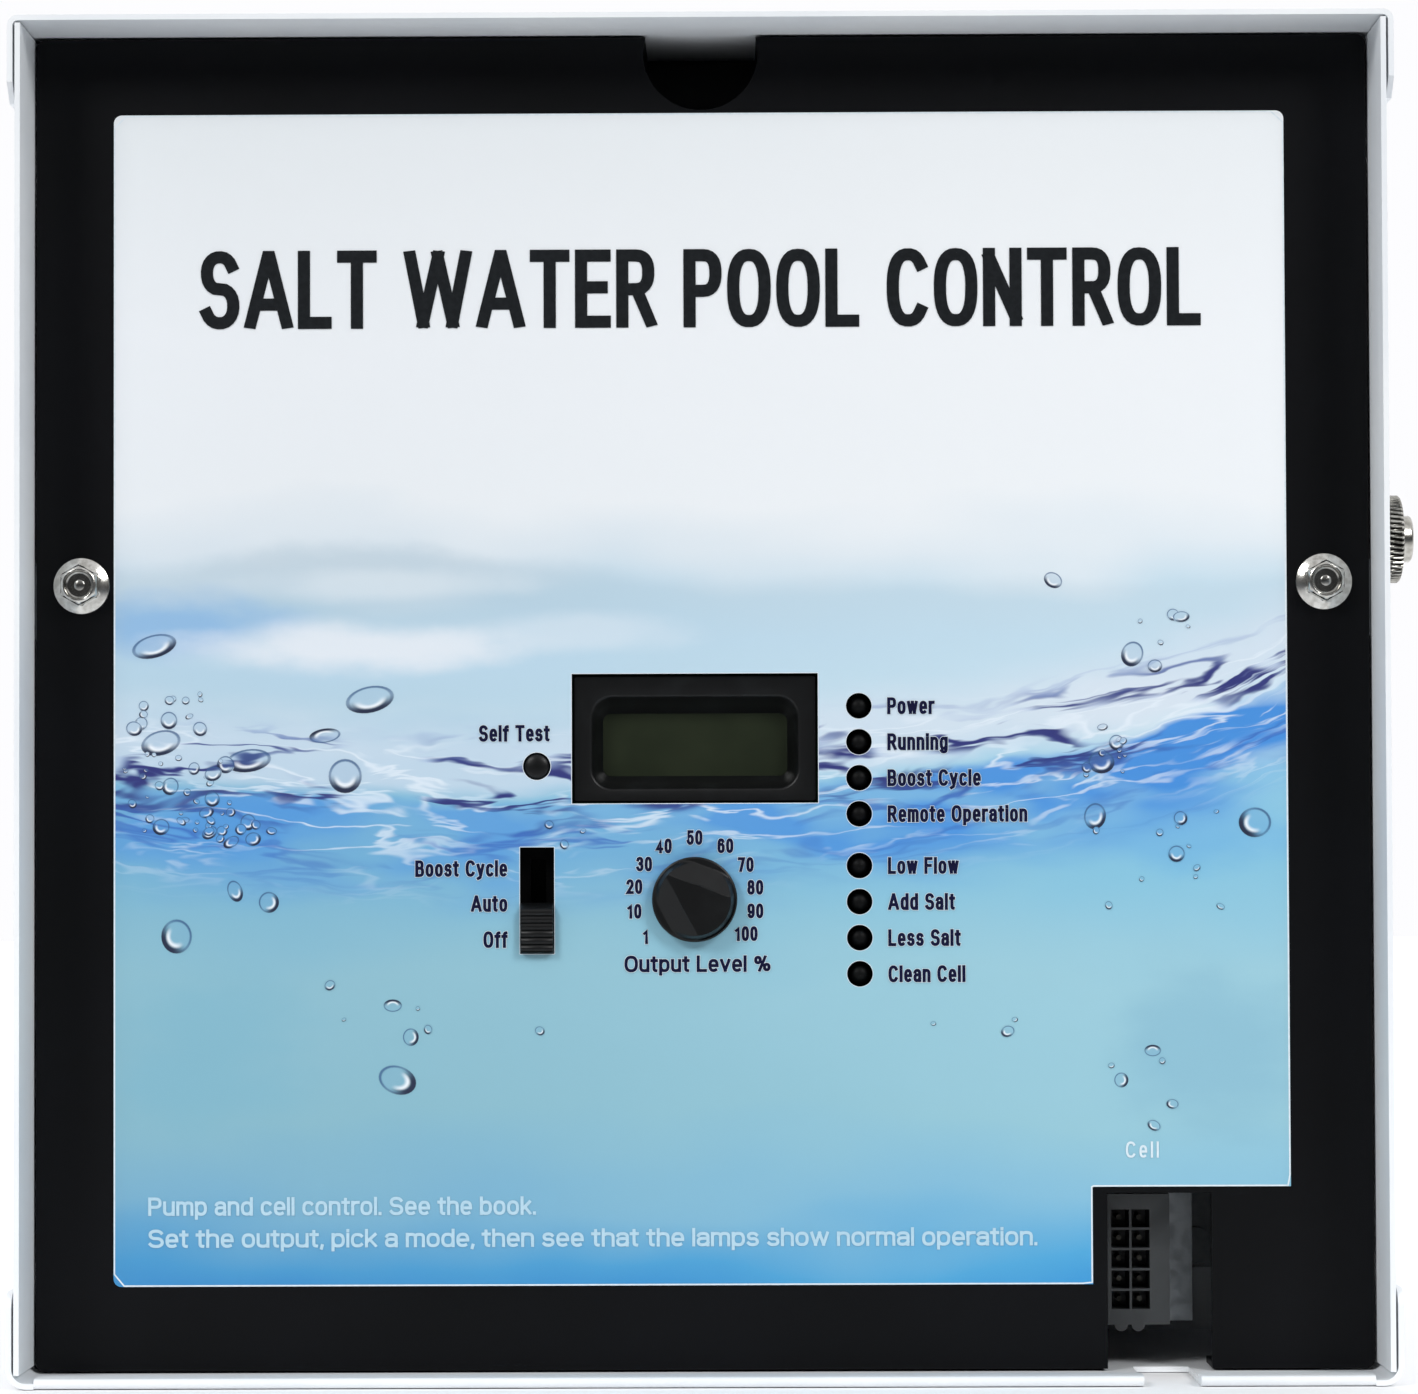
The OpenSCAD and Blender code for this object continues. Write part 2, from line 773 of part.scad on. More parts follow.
module led_lamps() {
    color([0.08, 0.08, 0.1]) for (z = lamp_heights) {
        translate([lamp_x, lamp_tip_y + lamp_d / 2, z]) sphere(d = lamp_d);
        bar_y(lamp_x, z, lamp_tip_y + lamp_d / 2, lamp_flange_y, lamp_d);
        bar_y(lamp_x, z, lamp_flange_y, lamp_flange_y + 1, lamp_flange_d);
    }
}

module led_spacers() {
    color([0.1, 0.1, 0.1]) for (z = lamp_heights)
        bar_y(lamp_x, z, lamp_flange_y + 1, display_y, lamp_flange_d);
}

module display_board() {
    color("darkgreen") slab(display_y, display_back) difference() {
        translate([display_x0, display_z0]) square([display_x1 - display_x0, display_z1 - display_z0]);
        for (p = display_fix) translate(p) circle(d = display_screw_d + 0.2);
    }
}

module display_standoffs() {
    color("gold") for (p = display_fix) difference() {
        hex_y(p[0], p[1], panel_back, display_y, 5.5);
        bar_y(p[0], p[1], display_y - 6, display_y + 1, display_screw_d);
    }
}

module display_screws() {
    color("silver") for (p = display_fix) {
        bar_y(p[0], p[1], display_y - 5, display_back, display_screw_d);
        bar_y(p[0], p[1], display_back, display_back + 2, 2 * display_screw_d);
    }
}

module display_chips() {
    color([0.12, 0.12, 0.13]) {
        block([-36, display_back, -34], [-22, display_back + 2.4, -20]);
        block([14, display_back, -42], [24, display_back + 2.4, -28]);
        block([-12, display_back, -60], [8, display_back + 3.5, -52]);
    }
}

// ---- Output knob ----

module potentiometer_body() {
    half = 8.5;
    color("steelblue") difference() {
        union() {
            block([knob_x - half, pot_y, knob_z - half], [knob_x + half, display_y, knob_z + half]);
            bar_y(knob_x, knob_z, panel_y, pot_y, bushing_d);
        }
        bar_y(knob_x, knob_z, panel_y - 1, display_y - 2, shaft_d + 2 * shaft_clear);
    }
}

module potentiometer_shaft() {
    color("silver") bar_y(knob_x, knob_z, knob_top_y + knob_skin, display_y - 2.2, shaft_d);
}

module output_knob() {
    rim = 1;
    half_angle = 20;
    apex_r = knob_d / 2 - 0.5;
    reach = knob_d;
    color([0.08, 0.08, 0.09]) difference() {
        union() {
            bar_y(knob_x, knob_z, knob_y - knob_skirt_h, knob_y, knob_d);
            // Raised pointer: a wedge whose tip is at the rim
            intersection() {
                bar_y(knob_x, knob_z, knob_top_y, knob_y, knob_d - 2 * rim);
                slab(knob_top_y, knob_y) translate([knob_x, knob_z]) rotate(knob_rest_angle) polygon([
                    [apex_r, 0],
                    [apex_r - reach, reach * tan(half_angle)],
                    [apex_r - reach, -reach * tan(half_angle)]
                ]);
            }
        }
        bar_y(knob_x, knob_z, knob_top_y + knob_skin, knob_y + 1, shaft_d);
    }
}

// ---- Mode switch ----

module mode_switch_body() {
    wall = 1.5;
    end_wall = 3;
    track_end = 2.5;
    track_half_w = slider_stem_w / 2 + slider_gap;
    color([0.06, 0.06, 0.06]) translate([slot_x, 0, slot_z]) difference() {
        block([-slot_w / 2 - wall, switch_face_y, -end_wall],
            [slot_w / 2 + wall, display_y, slot_l + end_wall]);
        // Track of the slider's stem
        block([-track_half_w, switch_face_y - 1, track_end],
            [track_half_w, track_floor_y, slot_l - track_end]);
    }
}

module mode_slider() {
    rib_pitch = 1.6;
    rib_count = 6;
    groove_w = 0.7;
    groove_d = 0.5;
    first_groove = 0.9;
    stem_half_l = 2.5;
    top_y = label_y - slider_h;
    foot_y = switch_face_y - 0.3;
    color([0.09, 0.09, 0.1]) translate([slot_x, 0, slot_z + slider_end_gap]) difference() {
        union() {
            block([-slider_w / 2, top_y, 0], [slider_w / 2, foot_y, slider_l]);
            block([-slider_stem_w / 2, foot_y, slider_l / 2 - stem_half_l],
                [slider_stem_w / 2, track_floor_y - 0.3, slider_l / 2 + stem_half_l]);
        }
        // Finger ribs
        for (i = [0:rib_count - 1]) translate([0, top_y, first_groove + i * rib_pitch])
            block([-slot_w, -1, 0], [slot_w, groove_d, groove_w]);
        // Slope above the ribs
        translate([0, top_y, slider_l]) rotate([40, 0, 0]) cube([2 * slot_w, 6, 2.2], center = true);
    }
}

// ---- Diagnostics button ----

module diagnostic_switch_body() {
    half = 6;
    color([0.15, 0.15, 0.15]) difference() {
        translate([slot_x, 0, button_z])
            block([-half, button_switch_y, -half], [half, display_y, half]);
        bar_y(slot_x, button_z, button_switch_y - 1, button_switch_y + 3.2, stem_d + 0.2);
    }
}

module diagnostic_button() {
    color([0.08, 0.08, 0.09]) {
        intersection() {
            bar_y(slot_x, button_z, button_front_y, button_back_y, button_d);
            translate([slot_x, button_front_y + button_dome_r, button_z]) sphere(r = button_dome_r);
        }
        bar_y(slot_x, button_z, button_back_y, button_switch_y + 1.5, stem_d);
    }
}

// Coil spring at its pressed length, around the button's stem
module button_spring() {
    turns = 3;
    length = button_switch_y - button_back_y - button_travel - 0.1;
    step = (length - spring_wire_d) / (turns - 1);
    coil_r = stem_d / 2 + 0.7;
    color("silver") for (i = [0:turns - 1])
        translate([slot_x, button_switch_y - spring_wire_d / 2 - i * step, button_z])
            rotate([90, 0, 0]) rotate_extrude() translate([coil_r, 0]) circle(d = spring_wire_d, $fn = 16);
}

// ---- Boards and wiring ----

module ribbon_headers() {
    color([0.1, 0.1, 0.1]) {
        translate([ribbon_x, display_back, display_header_z])
            block([-header_w / 2, 0, -header_h / 2], [header_w / 2, header_d, header_h / 2]);
        translate([ribbon_x, board_front - header_d, board_header_z])
            block([-header_w / 2, 0, -header_h / 2], [header_w / 2, header_d, header_h / 2]);
    }
}

// Flat cable: leaves the upper header, turns down, turns back into the lower header
module ribbon_cable() {
    r = ribbon_bend_r;
    upper_y = display_back + header_d;
    lower_y = board_front - header_d;
    fall_y = (upper_y + lower_y) / 2;
    fall_h = display_header_z - board_header_z - 2 * r;
    color("slategray") translate([ribbon_x - ribbon_w / 2, 0, 0]) rotate([90, 0, 90])
        linear_extrude(ribbon_w) {
            translate([upper_y, display_header_z - ribbon_t / 2]) square([fall_y - upper_y - r, ribbon_t]);
            translate([fall_y - ribbon_t / 2, board_header_z + r]) square([ribbon_t, fall_h]);
            translate([fall_y + r, board_header_z - ribbon_t / 2]) square([lower_y - fall_y - r, ribbon_t]);
            translate([fall_y - r, display_header_z - r]) quarter_ring(r, 0);
            translate([fall_y + r, board_header_z + r]) quarter_ring(r, 180);
        }
}

// A quarter of a ring of the ribbon's thickness
module quarter_ring(r, turn) {
    rotate(turn) intersection() {
        difference() {
            circle(r = r + ribbon_t / 2);
            circle(r = r - ribbon_t / 2);
        }
        square(2 * r);
    }
}

module main_board() {
    color("green") slab(board_front, board_back) difference() {
        translate([board_x0, board_z0]) square([board_w, board_h]);
        for (p = board_fix) translate(p) circle(d = board_screw_d + 0.2);
    }
}

module board_standoffs() {
    color("gold") for (p = board_fix) difference() {
        hex_y(p[0], p[1], board_back, back_in, 7);
        bar_y(p[0], p[1], board_back - 1, board_back + standoff_h - 3, board_screw_d);
    }
}

module board_screws() {
    color("silver") for (p = board_fix) {
        bar_y(p[0], p[1], board_front, board_back + standoff_h - 4, board_screw_d);
        bar_y(p[0], p[1], board_front - 2.6, board_front, 7);
    }
}

// Component of the main board, placed from the board's lower left corner
module on_board(x, z, w, h, tall) {
    translate([board_x0 + x, board_front, board_z0 + z]) block([0, -tall, 0], [w, 0, h]);
}

// The same from a block's list of five sizes
module on_board_block(b) {
    on_board(b[0], b[1], b[2], b[3], b[4]);
}

module main_chips() {
    color([0.12, 0.12, 0.13]) for (b = chip_blocks) on_board_block(b);
}

module relays() {
    color("steelblue") for (i = [0:2]) translate([0, 0, i * relay_pitch]) on_board_block(relay_block);
}

module capacitors() {
    color([0.16, 0.2, 0.4]) for (i = [0:2]) translate([board_x0 + cap_x, 0, board_z0 + cap_z])
        bar_y(0, i * cap_pitch, board_front - cap_tall, board_front, cap_d);
}

module surge_varistors() {
    leg_dz = 3;
    x0 = board_x0 + varistor_x;
    z0 = board_z0 + varistor_z;
    color("royalblue") for (x = [x0, x0 + varistor_pitch])
        bar_x(board_front - varistor_lift, z0, x, x + varistor_t, varistor_d);
    color("silver") for (x = [x0, x0 + varistor_pitch]) for (z = [z0 - leg_dz, z0 + leg_dz])
        bar_y(x + varistor_t / 2, z, board_front - 5, board_front, 0.9);
}

module line_fuse() {
    x0 = board_x0 + fuse_x;
    color("lightcyan") bar_x(board_front - fuse_lift, board_z0 + fuse_z, x0, x0 + fuse_l, fuse_d);
}

module fuse_clips() {
    x0 = board_x0 + fuse_x;
    color("silver") for (x = [0, fuse_l - clip_w]) difference() {
        on_board(fuse_x + x, fuse_z - fuse_d / 2 - clip_t, clip_w, fuse_d + 2 * clip_t, fuse_lift + 1.5);
        bar_x(board_front - fuse_lift, board_z0 + fuse_z, x0 - 1, x0 + fuse_l + 1, fuse_d);
    }
}

// Middle of a way of the mains terminal
function terminal_way_x(i) = board_x0 + terminal_x + (i + 0.5) * terminal_pitch;

module mains_terminal() {
    screw_z = board_z0 + terminal_screw_z;
    mouth_half_w = terminal_pitch / 2 - 1.5;
    color("forestgreen") difference() {
        on_board(terminal_x, terminal_z, terminal_ways * terminal_pitch, 14, terminal_tall);
        for (i = [0:terminal_ways - 1]) {
            bar_y(terminal_way_x(i), screw_z, board_front - terminal_tall - 1, board_front - 5, 4.4);
            // Wire mouth under the screw
            translate([terminal_way_x(i), board_front, board_z0])
                block([-mouth_half_w, -8, 0], [mouth_half_w, -3, terminal_wire_z]);
        }
    }
}

module terminal_screws() {
    color("silver") for (i = [0:terminal_ways - 1])
        bar_y(terminal_way_x(i), board_z0 + terminal_screw_z, board_front - 13, board_front - 5, 4);
}

// Middle of a rectifier on the heat sink
function rectifier_x(i) = sink_x + rectifier_first_x + i * rectifier_pitch;

// Upright round bar at a rectifier's screw, from z below the heat sink
module rectifier_bar(i, z, h, d) {
    translate([board_x0 + rectifier_x(i), board_front - rectifier_screw_lift, board_z0 + sink_z + z])
        cylinder(h = h, d = d);
}

module heat_sink() {
    fin_count = 7;
    fin_h = 14;
    fin_t = 2;
    fin_pitch = (sink_w - fin_t) / (fin_count - 1);
    color("lightgray") difference() {
        union() {
            on_board(sink_x, sink_z, sink_w, sink_base, sink_tall);
            for (i = [0:fin_count - 1])
                on_board(sink_x + i * fin_pitch, sink_z + sink_base, fin_t, fin_h, sink_tall);
        }
        for (i = [0, 1]) rectifier_bar(i, -1, sink_base + 3, rectifier_screw_d);
    }
}

module rectifiers() {
    leg_pitch = 5;
    color([0.1, 0.1, 0.1]) for (i = [0, 1]) difference() {
        translate([0, -rectifier_lift, 0]) on_board(rectifier_x(i) - rectifier_w / 2, sink_z - rectifier_t,
            rectifier_w, rectifier_t, rectifier_tall);
        rectifier_bar(i, -rectifier_t - 1, rectifier_t + 2, rectifier_screw_d);
    }
    color("silver") for (i = [0, 1]) for (k = [-1.5:1:1.5])
        bar_y(board_x0 + rectifier_x(i) + k * leg_pitch, board_z0 + sink_z - rectifier_t / 2,
            board_front - rectifier_lift, board_front, 1.2);
}

module rectifier_screws() {
    color("silver") for (i = [0, 1]) {
        rectifier_bar(i, -rectifier_t, rectifier_t + 2.5, rectifier_screw_d);
        rectifier_bar(i, -rectifier_t - 2.5, 2.5, 7);
    }
}

module flow_switch_jack() {
    color([0.12, 0.12, 0.12]) difference() {
        on_board(134, 0, 16, 15, 13);
        on_board(136, -1, 12, 12, 11);
    }
}

// ---- Transformer ----

module transformer_winding() {
    edge_r = 8;
    color("goldenrod") translate([coil_x, coil_back, coil_z]) rotate([90, 0, 0])
        rotate_extrude() round_rect(coil_hole_d / 2, 0, coil_d / 2, coil_h, edge_r);
}

module transformer_pads() {
    color([0.1, 0.1, 0.1]) for (y = [back_in - pad_t, coil_front - pad_t]) difference() {
        bar_y(coil_x, coil_z, y, y + pad_t, coil_d - 14);
        bar_y(coil_x, coil_z, y - 1, y + pad_t + 1, clamp_bolt_d);
    }
}

module transformer_plate() {
    color("silver") difference() {
        bar_y(coil_x, coil_z, coil_front - pad_t - clamp_plate_t, coil_front - pad_t, coil_d - 30);
        bar_y(coil_x, coil_z, coil_front - pad_t - clamp_plate_t - 1, coil_front, clamp_bolt_d);
    }
}

module transformer_bolt() {
    top_y = coil_front - pad_t - clamp_plate_t;
    color("silver") {
        bar_y(coil_x, coil_z, top_y, back_in, clamp_bolt_d);
        hex_y(coil_x, coil_z, top_y - 5.3, top_y, 13);
    }
}

module transformer_leads() {
    board_top = board_z0 + board_h;
    color("firebrick") for (i = [0:3]) {
        dx = (i - 1.5) * 9;
        x = coil_x + dx;
        wire([
            [x, coil_back - 16, coil_z - sqrt(pow(coil_d / 2, 2) - pow(dx, 2)) - 0.5],
            [x, coil_back - 16, board_top + 14],
            [x, coil_back - 18, board_top + 6],
            [x, board_front - 14, board_top - 5],
            [x, board_front - 11, board_top - 8],
            [x, board_front, board_top - 8]
        ], 2.6, [1, 0, 0]);
    }
}

// ---- Cell socket ----

module cell_socket() {
    bump_d = 3;
    z0 = socket_z1 - socket_h;
    color("gainsboro") difference() {
        union() {
            block([socket_x0, socket_y, z0], [socket_x0 + socket_w, socket_back, socket_z1]);
            // Two polarising bumps under the socket
            for (x = [3, 6.8]) bar_y(socket_x0 + x, z0, socket_y, socket_y + 8, bump_d);
        }
        for (p = contacts) translate([p[0] - contact_cell / 2, socket_y - 1, p[1] - contact_cell / 2])
            cube([contact_cell, contact_chamber_d + 1, contact_cell]);
        for (p = contacts) bar_y(p[0], p[1], socket_y + contact_chamber_d - 1, socket_back + 1, contact_d);
    }
}

module cell_contacts() {
    color("gold") for (p = contacts) bar_y(p[0], p[1], socket_y + 4, socket_back + 5, contact_d);
}

module socket_bracket() {
    t = socket_bracket_t;
    z0 = socket_z1 - socket_h - 1;
    z1 = socket_z1 + 1;
    x1 = socket_bracket_x1;
    color("gainsboro") difference() {
        union() {
            block([socket_x0 - 1, socket_back, z0], [x1, socket_back + t, z1]);
            block([x1 - t, socket_back, socket_foot_z0], [x1, back_in, z1]);
            block([x1 - t, back_in - t, socket_foot_z0], [x1 + socket_foot_w, back_in, z1]);
        }
        translate([contact_x + contact_pitch / 2, socket_back, contact_z])
            cube([2 * contact_pitch, 4 * t, 5 * contact_pitch], center = true);
        for (z = socket_foot_screws) bar_y(x1 + socket_foot_w / 2, z, back_in - 2 * t, back_in + 1, 4);
    }
}

module bracket_screws() {
    x = socket_bracket_x1 + socket_foot_w / 2;
    color("silver") for (z = socket_foot_screws) {
        bar_y(x, z, back_in - socket_bracket_t, back_in, 4);
        bar_y(x, z, back_in - socket_bracket_t - 2.4, back_in - socket_bracket_t, 7.5);
    }
}

// Leads from the contacts, gathered to the main board's right edge
module cell_leads() {
    lead_d = 1.8;
    pad_x = board_x0 + board_w - 33;
    color("dimgray") for (i = [0:len(contacts) - 1]) {
        p = contacts[i];
        column = floor(i / 5);
        row = i % 5;
        lift = socket_back + 8 + column * 3;
        land_x = pad_x + column * 4;
        land_z = board_z0 + 6 + row * 4;
        wire([
            [p[0], socket_back + 5, p[1]],
            [p[0], lift - 2, p[1]],
            [p[0] - 2, lift, p[1]],
            [land_x + 2, lift, land_z],
            [land_x, lift + 2, land_z],
            [land_x, board_front, land_z]
        ], lead_d, [0, 0, 1]);
    }
}

// ---- Earth bar ----

module ground_bar() {
    color("goldenrod") difference() {
        translate([ground_x0, back_in, ground_z])
            block([0, -ground_d, -ground_d / 2], [ground_w, 0, ground_d / 2]);
        for (x = ground_ways) {
            bar_y(x, ground_z, back_in - ground_d - 1, back_in - 2, 4);
            translate([x, back_in - ground_d / 2, ground_z])
                cylinder(h = 2 * ground_d, d = 3, center = true);
        }
    }
}

module ground_screws() {
    color("seagreen") for (x = ground_ways) {
        bar_y(x, ground_z, back_in - ground_d, back_in - ground_d + 2, 4);
        bar_y(x, ground_z, back_in - ground_d - 3, back_in - ground_d, 7);
    }
}

// ---- Cover fixing on the right wall ----

module thumb_stud() {
    color("silver") {
        bar_x(stud_y, stud_z, wall_in - 1.5, wall_in, stud_d + 3);
        bar_x(stud_y, stud_z, wall_in, nut_x1 - 0.6, stud_d);
    }
}

module thumb_washer() {
    color("white") difference() {
        bar_x(stud_y, stud_z, half_w, half_w + thumb_washer_t, 12);
        bar_x(stud_y, stud_z, half_w - 1, half_w + thumb_washer_t + 1, stud_d + 2 * thread_clear);
    }
}

module thumb_nut() {
    teeth = 40;
    groove = 0.77;
    color("silver") difference() {
        union() {
            bar_x(stud_y, stud_z, nut_x0, nut_x0 + nut_disc_t, nut_d);
            bar_x(stud_y, stud_z, nut_x0, nut_x1, nut_boss_d);
        }
        bar_x(stud_y, stud_z, nut_x0 - 1, nut_x1 + 1, stud_d + 2 * thread_clear);
        // Grooves of the knurl
        for (i = [0:teeth - 1]) translate([0, stud_y, stud_z]) rotate([i * 360 / teeth, 0, 0])
            translate([nut_x0 + nut_disc_t / 2, 0, nut_d / 2]) rotate([45, 0, 0])
                cube([nut_disc_t + 2, groove, groove], center = true);
    }
}

enclosure_body();
top_cap();
bottom_cap();
rivets();
conduit_knockouts();
inner_panel();
finger_pocket();
front_label();
panel_brackets();
bracket_nuts();
panel_screws();
lcd_bezel();
lcd_glass();
lcd_module();
led_lamps();
led_spacers();
display_board();
display_standoffs();
display_screws();
display_chips();
potentiometer_body();
potentiometer_shaft();
output_knob();
mode_switch_body();
mode_slider();
diagnostic_switch_body();
diagnostic_button();
button_spring();
ribbon_cable();
ribbon_headers();
main_board();
board_standoffs();
board_screws();
main_chips();
relays();
capacitors();
surge_varistors();
line_fuse();
fuse_clips();
mains_terminal();
terminal_screws();
heat_sink();
rectifiers();
rectifier_screws();
transformer_winding();
transformer_pads();
transformer_plate();
transformer_bolt();
transformer_leads();
flow_switch_jack();
cell_socket();
cell_contacts();
cell_leads();
socket_bracket();
bracket_screws();
ground_bar();
ground_screws();
thumb_stud();
thumb_washer();
thumb_nut();
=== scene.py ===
"""Control box of a salt chlorine generator.

Finishes, the printed overlay, small detailed pieces, light and camera. Everything is in metres in
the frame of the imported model: +X right, +Z up, the front looks along -Y, and the origin is the middle
of the rear mounting face.
"""
import json
import math
import random

import bmesh
import bpy
import numpy as np
from mathutils import Matrix, Vector


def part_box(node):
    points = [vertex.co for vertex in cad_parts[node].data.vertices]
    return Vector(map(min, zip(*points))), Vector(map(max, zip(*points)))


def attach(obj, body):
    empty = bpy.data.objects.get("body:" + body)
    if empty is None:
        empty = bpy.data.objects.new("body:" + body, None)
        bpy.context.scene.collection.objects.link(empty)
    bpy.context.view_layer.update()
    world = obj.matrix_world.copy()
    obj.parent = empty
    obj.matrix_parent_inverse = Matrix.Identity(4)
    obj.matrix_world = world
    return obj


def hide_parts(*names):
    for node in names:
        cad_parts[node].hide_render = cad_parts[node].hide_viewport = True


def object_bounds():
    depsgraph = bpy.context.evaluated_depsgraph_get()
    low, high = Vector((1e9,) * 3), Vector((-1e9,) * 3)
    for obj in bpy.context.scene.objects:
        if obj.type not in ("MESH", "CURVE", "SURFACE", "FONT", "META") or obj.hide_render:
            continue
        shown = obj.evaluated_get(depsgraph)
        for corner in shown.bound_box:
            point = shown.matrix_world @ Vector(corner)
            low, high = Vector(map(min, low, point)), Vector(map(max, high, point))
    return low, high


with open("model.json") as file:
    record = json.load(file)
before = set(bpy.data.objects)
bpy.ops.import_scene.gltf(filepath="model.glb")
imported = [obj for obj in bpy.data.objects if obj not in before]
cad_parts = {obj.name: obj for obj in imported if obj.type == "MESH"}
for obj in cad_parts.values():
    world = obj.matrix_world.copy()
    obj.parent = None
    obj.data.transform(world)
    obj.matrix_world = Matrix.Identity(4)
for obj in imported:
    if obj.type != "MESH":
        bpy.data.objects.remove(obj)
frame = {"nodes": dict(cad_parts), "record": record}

CAD_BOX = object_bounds()
NODES = frame["nodes"]
MM = 0.001


# ---------------------------------------------------------------- places taken from the frame

def low(node):
    """Lowest corner of a CAD node."""
    return np.array(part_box(node)[0])


def high(node):
    """Highest corner of a CAD node."""
    return np.array(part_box(node)[1])


def middle(node):
    """Centre of a CAD node's box."""
    return (low(node) + high(node)) / 2


LAMP_FLANGE = 2.9 * MM                  # radius of a lamp's foot
LAMP_STEP = 8 * MM                      # between lamps of a group
LAMP_GAP = 11.5 * MM                    # between the two groups of four
LAMP_TOP = high("led_lamps")[2] - LAMP_FLANGE
LAMP_HEIGHTS = [LAMP_TOP - g * (3 * LAMP_STEP + LAMP_GAP) - i * LAMP_STEP for g in (0, 1) for i in range(4)]
LABEL_FACE = low("front_label")[1]      # front of the printed overlay
PANEL_FACE = high("front_label")[1]     # front of the black panel
INK = 0.03 * MM                         # one printed layer
LAMP_WATTS = 20.5                       # each of the two soft lamps


# ---------------------------------------------------------------- shader helpers

def srgb(colour):
    """Linear RGBA of an sRGB hex colour."""
    parts = [int(colour[i:i + 2], 16) / 255 for i in (1, 3, 5)]
    return [c / 12.92 if c <= 0.04045 else ((c + 0.055) / 1.055) ** 2.4 for c in parts] + [1.0]


def add(tree, kind, inputs=None, **settings):
    """Adds one shader node, sets its properties, and links or sets its inputs."""
    made = tree.nodes.new("ShaderNode" + kind)
    for key, value in settings.items():
        setattr(made, key, value)
    for key, value in (inputs or {}).items():
        if isinstance(value, bpy.types.NodeSocket):
            tree.links.new(value, made.inputs[key])
        else:
            made.inputs[key].default_value = value
    return made


def new_material(name, **sockets):
    """Material with one Principled shader; sockets set its uniform values directly."""
    mat = bpy.data.materials.new(name)
    mat.use_nodes = True
    shader = mat.node_tree.nodes["Principled BSDF"]
    for key, value in sockets.items():
        shader.inputs[key.replace("_", " ")].default_value = value
    return mat, mat.node_tree, shader


def millimetres(tree):
    """Object coordinates in millimetres."""
    place = add(tree, "TexCoord")
    return add(tree, "VectorMath", {0: place.outputs["Object"], "Scale": 1000.0},
               operation="SCALE").outputs[0]


def maths(tree, operation, a, b=0.0, c=0.0, clamp=False):
    """Result of one Math node."""
    return add(tree, "Math", {0: a, 1: b, 2: c}, operation=operation, use_clamp=clamp).outputs[0]


def times(tree, a, b, clamp=False):
    """Product of two values."""
    return maths(tree, "MULTIPLY", a, b, clamp=clamp)


def blend(tree, factor, a, b, mode="MIX"):
    """Colour mix of a and b; both may be sockets or linear colours."""
    return add(tree, "Mix", {0: factor, 6: a, 7: b}, data_type="RGBA", blend_type=mode,
               clamp_factor=True).outputs[2]


def ramp(tree, factor, stops):
    """Colour ramp through (place, sRGB hex) stops."""
    made = add(tree, "ValToRGB", {0: factor})
    made.color_ramp.interpolation = "LINEAR"
    points = made.color_ramp.elements
    while len(points) < len(stops):
        points.new(0.5)
    for point, (place, colour) in zip(points, stops):
        point.position = place
        point.color = srgb(colour)
    return made.outputs[0]


def noise(tree, vector, scale, detail=2.0, roughness=0.5, distortion=0.0):
    """Noise value; scale is in repeats per unit of the vector."""
    made = add(tree, "TexNoise", {"Vector": vector, "Scale": scale, "Detail": detail,
                                  "Roughness": roughness, "Distortion": distortion})
    return made.outputs["Fac"]


def stretched(tree, flat, wide_mm, tall_mm, shift=(0.0, 0.0, 0.0)):
    """The vector scaled so that one unit of it is wide_mm across and tall_mm up."""
    made = add(tree, "Mapping", {"Vector": flat, "Scale": (1 / wide_mm, 1 / tall_mm, 1.0), "Location": shift})
    return made.outputs[0]


def bump(tree, shader, height, strength, distance_mm):
    """Feeds a height into the shader's normal."""
    made = add(tree, "Bump", {"Height": height, "Strength": strength, "Distance": distance_mm * MM})
    tree.links.new(made.outputs[0], shader.inputs["Normal"])


def between(tree, value, start, end, smooth=True):
    """0 below start, 1 above end, eased in between."""
    made = add(tree, "MapRange", {0: value, 1: start, 2: end},
               interpolation_type="SMOOTHSTEP" if smooth else "LINEAR")
    return made.outputs[0]


# ---------------------------------------------------------------- finishes

def powder_coat(name, colour, shade, grain_mm, gloss, sheen=0.5):
    """Polyester powder coat on sheet steel: sprayed dry and baked, which leaves a faint orange-peel
    skin, softly glossy, with slightly uneven colour where the film is thin."""
    mat, tree, shader = new_material(name, IOR=1.5, Specular_IOR_Level=sheen)
    at = millimetres(tree)
    cloud = noise(tree, at, 1 / 45, 3.0)
    tree.links.new(blend(tree, between(tree, cloud, 0.3, 0.7), srgb(colour), srgb(shade)),
                   shader.inputs["Base Color"])
    peel = noise(tree, at, 1 / grain_mm, 1.5)
    rough = add(tree, "MapRange", {0: peel, 3: gloss - 0.05, 4: gloss + 0.06}).outputs[0]
    tree.links.new(rough, shader.inputs["Roughness"])
    bump(tree, shader, peel, 0.25, 0.06)
    return mat


def moulded(name, colour, worn, gloss, grain_mm=0.35, sheen=0.5):
    """Moulded ABS: spark-eroded mould texture, which gives a fine satin grain, a little paler and
    shinier where fingers rub it."""
    mat, tree, shader = new_material(name, IOR=1.53, Specular_IOR_Level=sheen)
    at = millimetres(tree)
    rub = between(tree, noise(tree, at, 1 / 7, 3.0), 0.45, 0.75)
    tree.links.new(blend(tree, rub, srgb(colour), srgb(worn)), shader.inputs["Base Color"])
    grain = noise(tree, at, 1 / grain_mm, 2.0)
    rough = add(tree, "MapRange", {0: grain, 3: gloss - 0.06, 4: gloss + 0.08}).outputs[0]
    tree.links.new(rough, shader.inputs["Roughness"])
    bump(tree, shader, grain, 0.3, 0.05)
    return mat


